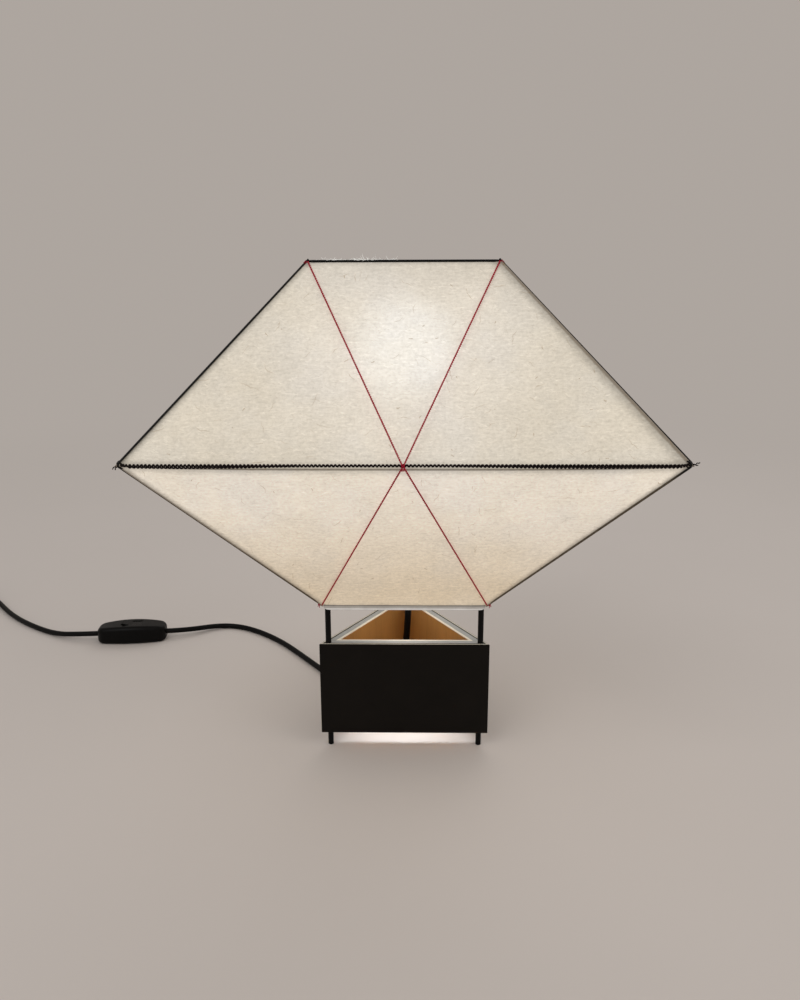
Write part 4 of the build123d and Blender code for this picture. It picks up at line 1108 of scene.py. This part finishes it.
class LAMP_OT_threads(Operator):
    """Tie the red threads over each face, with their knots and short tails"""

    bl_idname = "paper_lamp.threads"
    bl_label = "Tie the Red Threads"

    def execute(self, context):
        cordage = context.scene.paper_lamp.cordage
        finish = cordage_finish("red_thread", cordage.thread, 0.62)
        size, pitch = cordage.thread_size, cordage.thread_pitch
        knots = bmesh.new()
        for face, azimuth in FACES.items():
            turn = spin(azimuth)
            work = bmesh.new()
            for side in (-1, 1):
                add_thread(work, turn, thread_route(side, size), size, pitch)
            make_piece(f"threads_{face}", work, finish, "red_thread", f"red_threads_{face}")
            self.waist_knot(knots, turn, size, pitch)
        make_piece("thread_knots", knots, finish, "red_thread", "waist_knots")
        for half, node in TIES.items():
            work = bmesh.new()
            for azimuth in CORNERS.values():
                self.corner_tie(work, spin(azimuth), half, size, pitch)
            make_piece(f"thread_ties_{half}", work, finish, "red_thread", node)
        return {"FINISHED"}

    def waist_knot(self, work, turn, size, pitch):
        """Turns round the rope and the crossing threads, drawn tight."""
        centre = Vector((0, -ROPE_INRADIUS, ROPE_HEIGHT - 0.3 * MM))
        sideways, up = Vector((1, 0, 0)), Vector((0, 0, 1))
        wound = ring_points(centre, sideways, radius=ROPE / 2 + size * 0.30, turns=1.5, rise=1.6 * MM)
        add_thread(work, turn, wound, size * 0.45, pitch)
        front = centre + Vector((0, -ROPE / 2 - size * 0.9, -2.4 * MM))
        bundle = ring_points(front, up, radius=size * 0.75, turns=2.0, rise=2.0 * MM, per_turn=12)
        add_thread(work, turn, bundle, size * 0.5, pitch)

    def corner_tie(self, work, turn, half, size, pitch):
        """Turns round a rib, up to its hoop, and on the lower ties two cut ends."""
        reach, height, way = tie_place(half)
        centre = Vector((reach, 0, height))
        yarn = size * (0.32 if half == "upper" else 0.50)
        above = centre + way * (TIE_RISE / 2)
        wound = ring_points(above, way, radius=RIB_WIRE / 2 + yarn * 0.45, turns=3.2, rise=2.6 * MM)
        add_thread(work, turn, wound, yarn, pitch)
        for sideways in (-1, 1) if half == "lower" else ():
            tail = [
                centre + Vector((1.0, 0, 0)) * MM,
                centre + Vector((1.6, sideways * 0.9, -0.6)) * MM,
                centre + Vector((1.9, sideways * 1.7, -2.2)) * MM,
            ]
            add_thread(work, turn, tail, size * 0.55, pitch)


class LAMP_OT_box(Operator):
    """Finish the box: lacquered sheets outside, timber inside"""

    bl_idname = "paper_lamp.box"
    bl_label = "Finish the Box"

    def execute(self, context):
        box = context.scene.paper_lamp.box
        paint_nodes(timber_finish(box), *[f"base_panel_{face}" for face in FACES])
        paint_nodes(lacquer_finish(box), *[f"base_cladding_{face}" for face in FACES])
        return {"FINISHED"}


class LAMP_OT_bars(Operator):
    """Finish the posts, hoops and ribs"""

    bl_idname = "paper_lamp.bars"
    bl_label = "Finish the Bars"

    def execute(self, context):
        box = context.scene.paper_lamp.box
        posts = [f"post_{corner}" for corner in CORNERS]
        paint_nodes(enamel_finish("post_enamel", box.steel, 1.6 * MM), *posts)
        paint_nodes(enamel_finish("wire_enamel", box.steel, 0.8 * MM), *HOOPS.values())
        paint_nodes(rib_finish(box), *[f"rib_{corner}" for corner in CORNERS])
        return {"FINISHED"}


class LAMP_OT_holder(Operator):
    """Finish the lamp holder, its bracket and the bulb"""

    bl_idname = "paper_lamp.holder"
    bl_label = "Finish the Holder and Bulb"

    def execute(self, context):
        zinc = metal_finish("zinc_plate", (0.52, 0.52, 0.53), 0.38, (1, 1, 0.3))
        brass = metal_finish("pressed_brass", (0.72, 0.50, 0.21), 0.30, (1, 1, 0.2))
        rolled = metal_finish("rolled_aluminium", (0.78, 0.78, 0.79), 0.28, (0.2, 0.2, 1))
        phenolic = moulded_finish("black_phenolic", (0.013, 0.012, 0.012), 0.30, 0.8 * MM)
        paint_nodes(zinc, "holder_bracket", "post_collars", "collar_screws", "switch_screws", "switch_pivot")
        paint_nodes(phenolic, "holder_body", "holder_cap", "clamp_ring", "cord_grip")
        paint_nodes(ceramic_finish(), "holder_insulator")
        paint_nodes(brass, "thread_sleeve", "centre_contact")
        paint_nodes(rolled, "bulb_cap", "bulb_contact")
        paint_nodes(black_glass_finish(), "bulb_insulator")
        paint_nodes(opal_finish(), "bulb_glass")
        return {"FINISHED"}


# Soft lamps of the studio, which look at the shade: name, place, width and share of the key's power
STUDIO_LAMPS = (
    ("key", (-1.1, -1.5, 2.3), 1.9, 1.0),
    ("fill", (1.7, -0.9, 1.5), 1.6, 0.45),
    ("back", (0.5, 1.9, 1.9), 1.6, 0.45),
)
STUDIO_AIM = (0, 0, 0.2)
# Tints of the light from all round, over the open box and down through it
ROOM_TINT, INNER_TINT, UNDER_TINT = (1, 0.985, 0.965), (1.0, 0.95, 0.90), (0.86, 0.94, 1.0)
CAMERA_PLACE = (0.0063, -0.695, 0.395)
# Heading, pitch and roll of the camera in degrees
CAMERA_HEADING, CAMERA_PITCH, CAMERA_ROLL = 0.86, -14.12, -0.15


class LAMP_OT_stage(Operator):
    """Set up the floor, the light and the camera"""

    bl_idname = "paper_lamp.stage"
    bl_label = "Set the Stage"

    def execute(self, context):
        stage = context.scene.paper_lamp.stage
        self.floor(stage)
        self.world(context, stage)
        for name, place, size, share in STUDIO_LAMPS:
            self.area_lamp(name, place, STUDIO_AIM, size, stage.key * share)
        self.area_lamp("inner", (0, -0.006, 0.128), (0, 0, 0), 0.05, stage.inner, INNER_TINT)
        self.area_lamp(
            "under", (0, -0.024, 0.045), (0, -0.024, 0), 0.096, stage.under, UNDER_TINT, depth=0.014
        )
        self.camera(context, stage)
        context.scene.view_settings.view_transform = "Standard"
        return {"FINISHED"}

    def floor(self, stage):
        work = bmesh.new()
        bmesh.ops.create_circle(work, cap_ends=True, segments=96, radius=stage.reach)
        floor = put("floor", mesh_of("floor", work, smooth=False))
        paint = Paint("floor", roughness=0.75, specular_ior_level=0.2)
        cloud = paint.noise(0.4, 3)
        paint.feed(base_color=paint.tint(stage.floor, 0.97 + cloud * 0.06))
        away = paint.measure("LENGTH", paint.place())
        plain = paint.node("Emission", inputs={"Color": stage.backdrop, "Strength": 1.0})
        share = paint.fade(away, stage.fade_from, stage.fade_to)
        paint.show(paint.node("MixShader", inputs={0: share, 1: paint.shader, 2: plain}))
        floor.data.materials.append(paint.material)

    def world(self, context, stage):
        """Light from all round. Seen straight, reflected or through glass, it is the plain backdrop."""
        context.scene.world = bpy.data.worlds.new("studio")
        sky = Nodes(context.scene.world, "World")
        seen = [sky.node("LightPath", output=f"Is {ray} Ray") for ray in ("Camera", "Glossy", "Transmission")]
        room = sky.node("Background", inputs={"Color": ROOM_TINT, "Strength": stage.world})
        plain = sky.node("Background", inputs={"Color": stage.backdrop, "Strength": 1.0})
        sky.show(sky.node("MixShader", inputs={0: sky.largest(*seen), 1: room, 2: plain}))

    def area_lamp(self, name, place, aim, size, power, colour=(1, 1, 1), depth=None):
        """A round lamp, or an oblong one where a depth is given."""
        light = bpy.data.lights.new(name, "AREA")
        light.shape = "RECTANGLE" if depth else "DISK"
        light.size = size
        light.size_y = depth or size
        light.energy = power
        light.color = colour
        lamp = put(name, light)
        lamp.location = place
        lamp.rotation_mode = "QUATERNION"
        lamp.rotation_quaternion = (Vector(aim) - Vector(place)).to_track_quat("-Z", "Y")
        lamp.visible_camera = False

    def camera(self, context, stage):
        view = bpy.data.cameras.new("view")
        view.lens = stage.lens
        camera = put("view", view)
        tilt = Matrix.Rotation(math.radians(90 + CAMERA_PITCH), 4, "X")
        turn = spin(CAMERA_HEADING) @ tilt @ spin(CAMERA_ROLL)
        camera.matrix_world = Matrix.Translation(CAMERA_PLACE) @ turn
        context.scene.camera = camera


STEPS = (
    LAMP_OT_stage, LAMP_OT_leads, LAMP_OT_switch, LAMP_OT_paper, LAMP_OT_hems, LAMP_OT_frays, LAMP_OT_rope,
    LAMP_OT_threads, LAMP_OT_box, LAMP_OT_bars, LAMP_OT_holder,
)


class LAMP_PT_panel(Panel):
    """The lamp's steps, in the order they are made"""

    bl_idname = "LAMP_PT_panel"
    bl_label = "Paper Table Lamp"
    bl_space_type = "VIEW_3D"
    bl_region_type = "UI"
    bl_category = "Lamp"

    def draw(self, context):
        for step in STEPS:
            self.layout.operator(step.bl_idname)


SETTINGS = (ShadeSettings, CordageSettings, BoxSettings, LeadSettings, StageSettings, LampSettings)


def register():
    for kind in SETTINGS + STEPS + (LAMP_PT_panel,):
        bpy.utils.register_class(kind)
    bpy.types.Scene.paper_lamp = PointerProperty(type=LampSettings)


def unregister():
    del bpy.types.Scene.paper_lamp
    for kind in reversed(SETTINGS + STEPS + (LAMP_PT_panel,)):
        bpy.utils.unregister_class(kind)


def main():
    register()
    for step in STEPS:
        group, name = step.bl_idname.split(".")
        getattr(getattr(bpy.ops, group), name)()


if __name__ == "__main__":
    main()
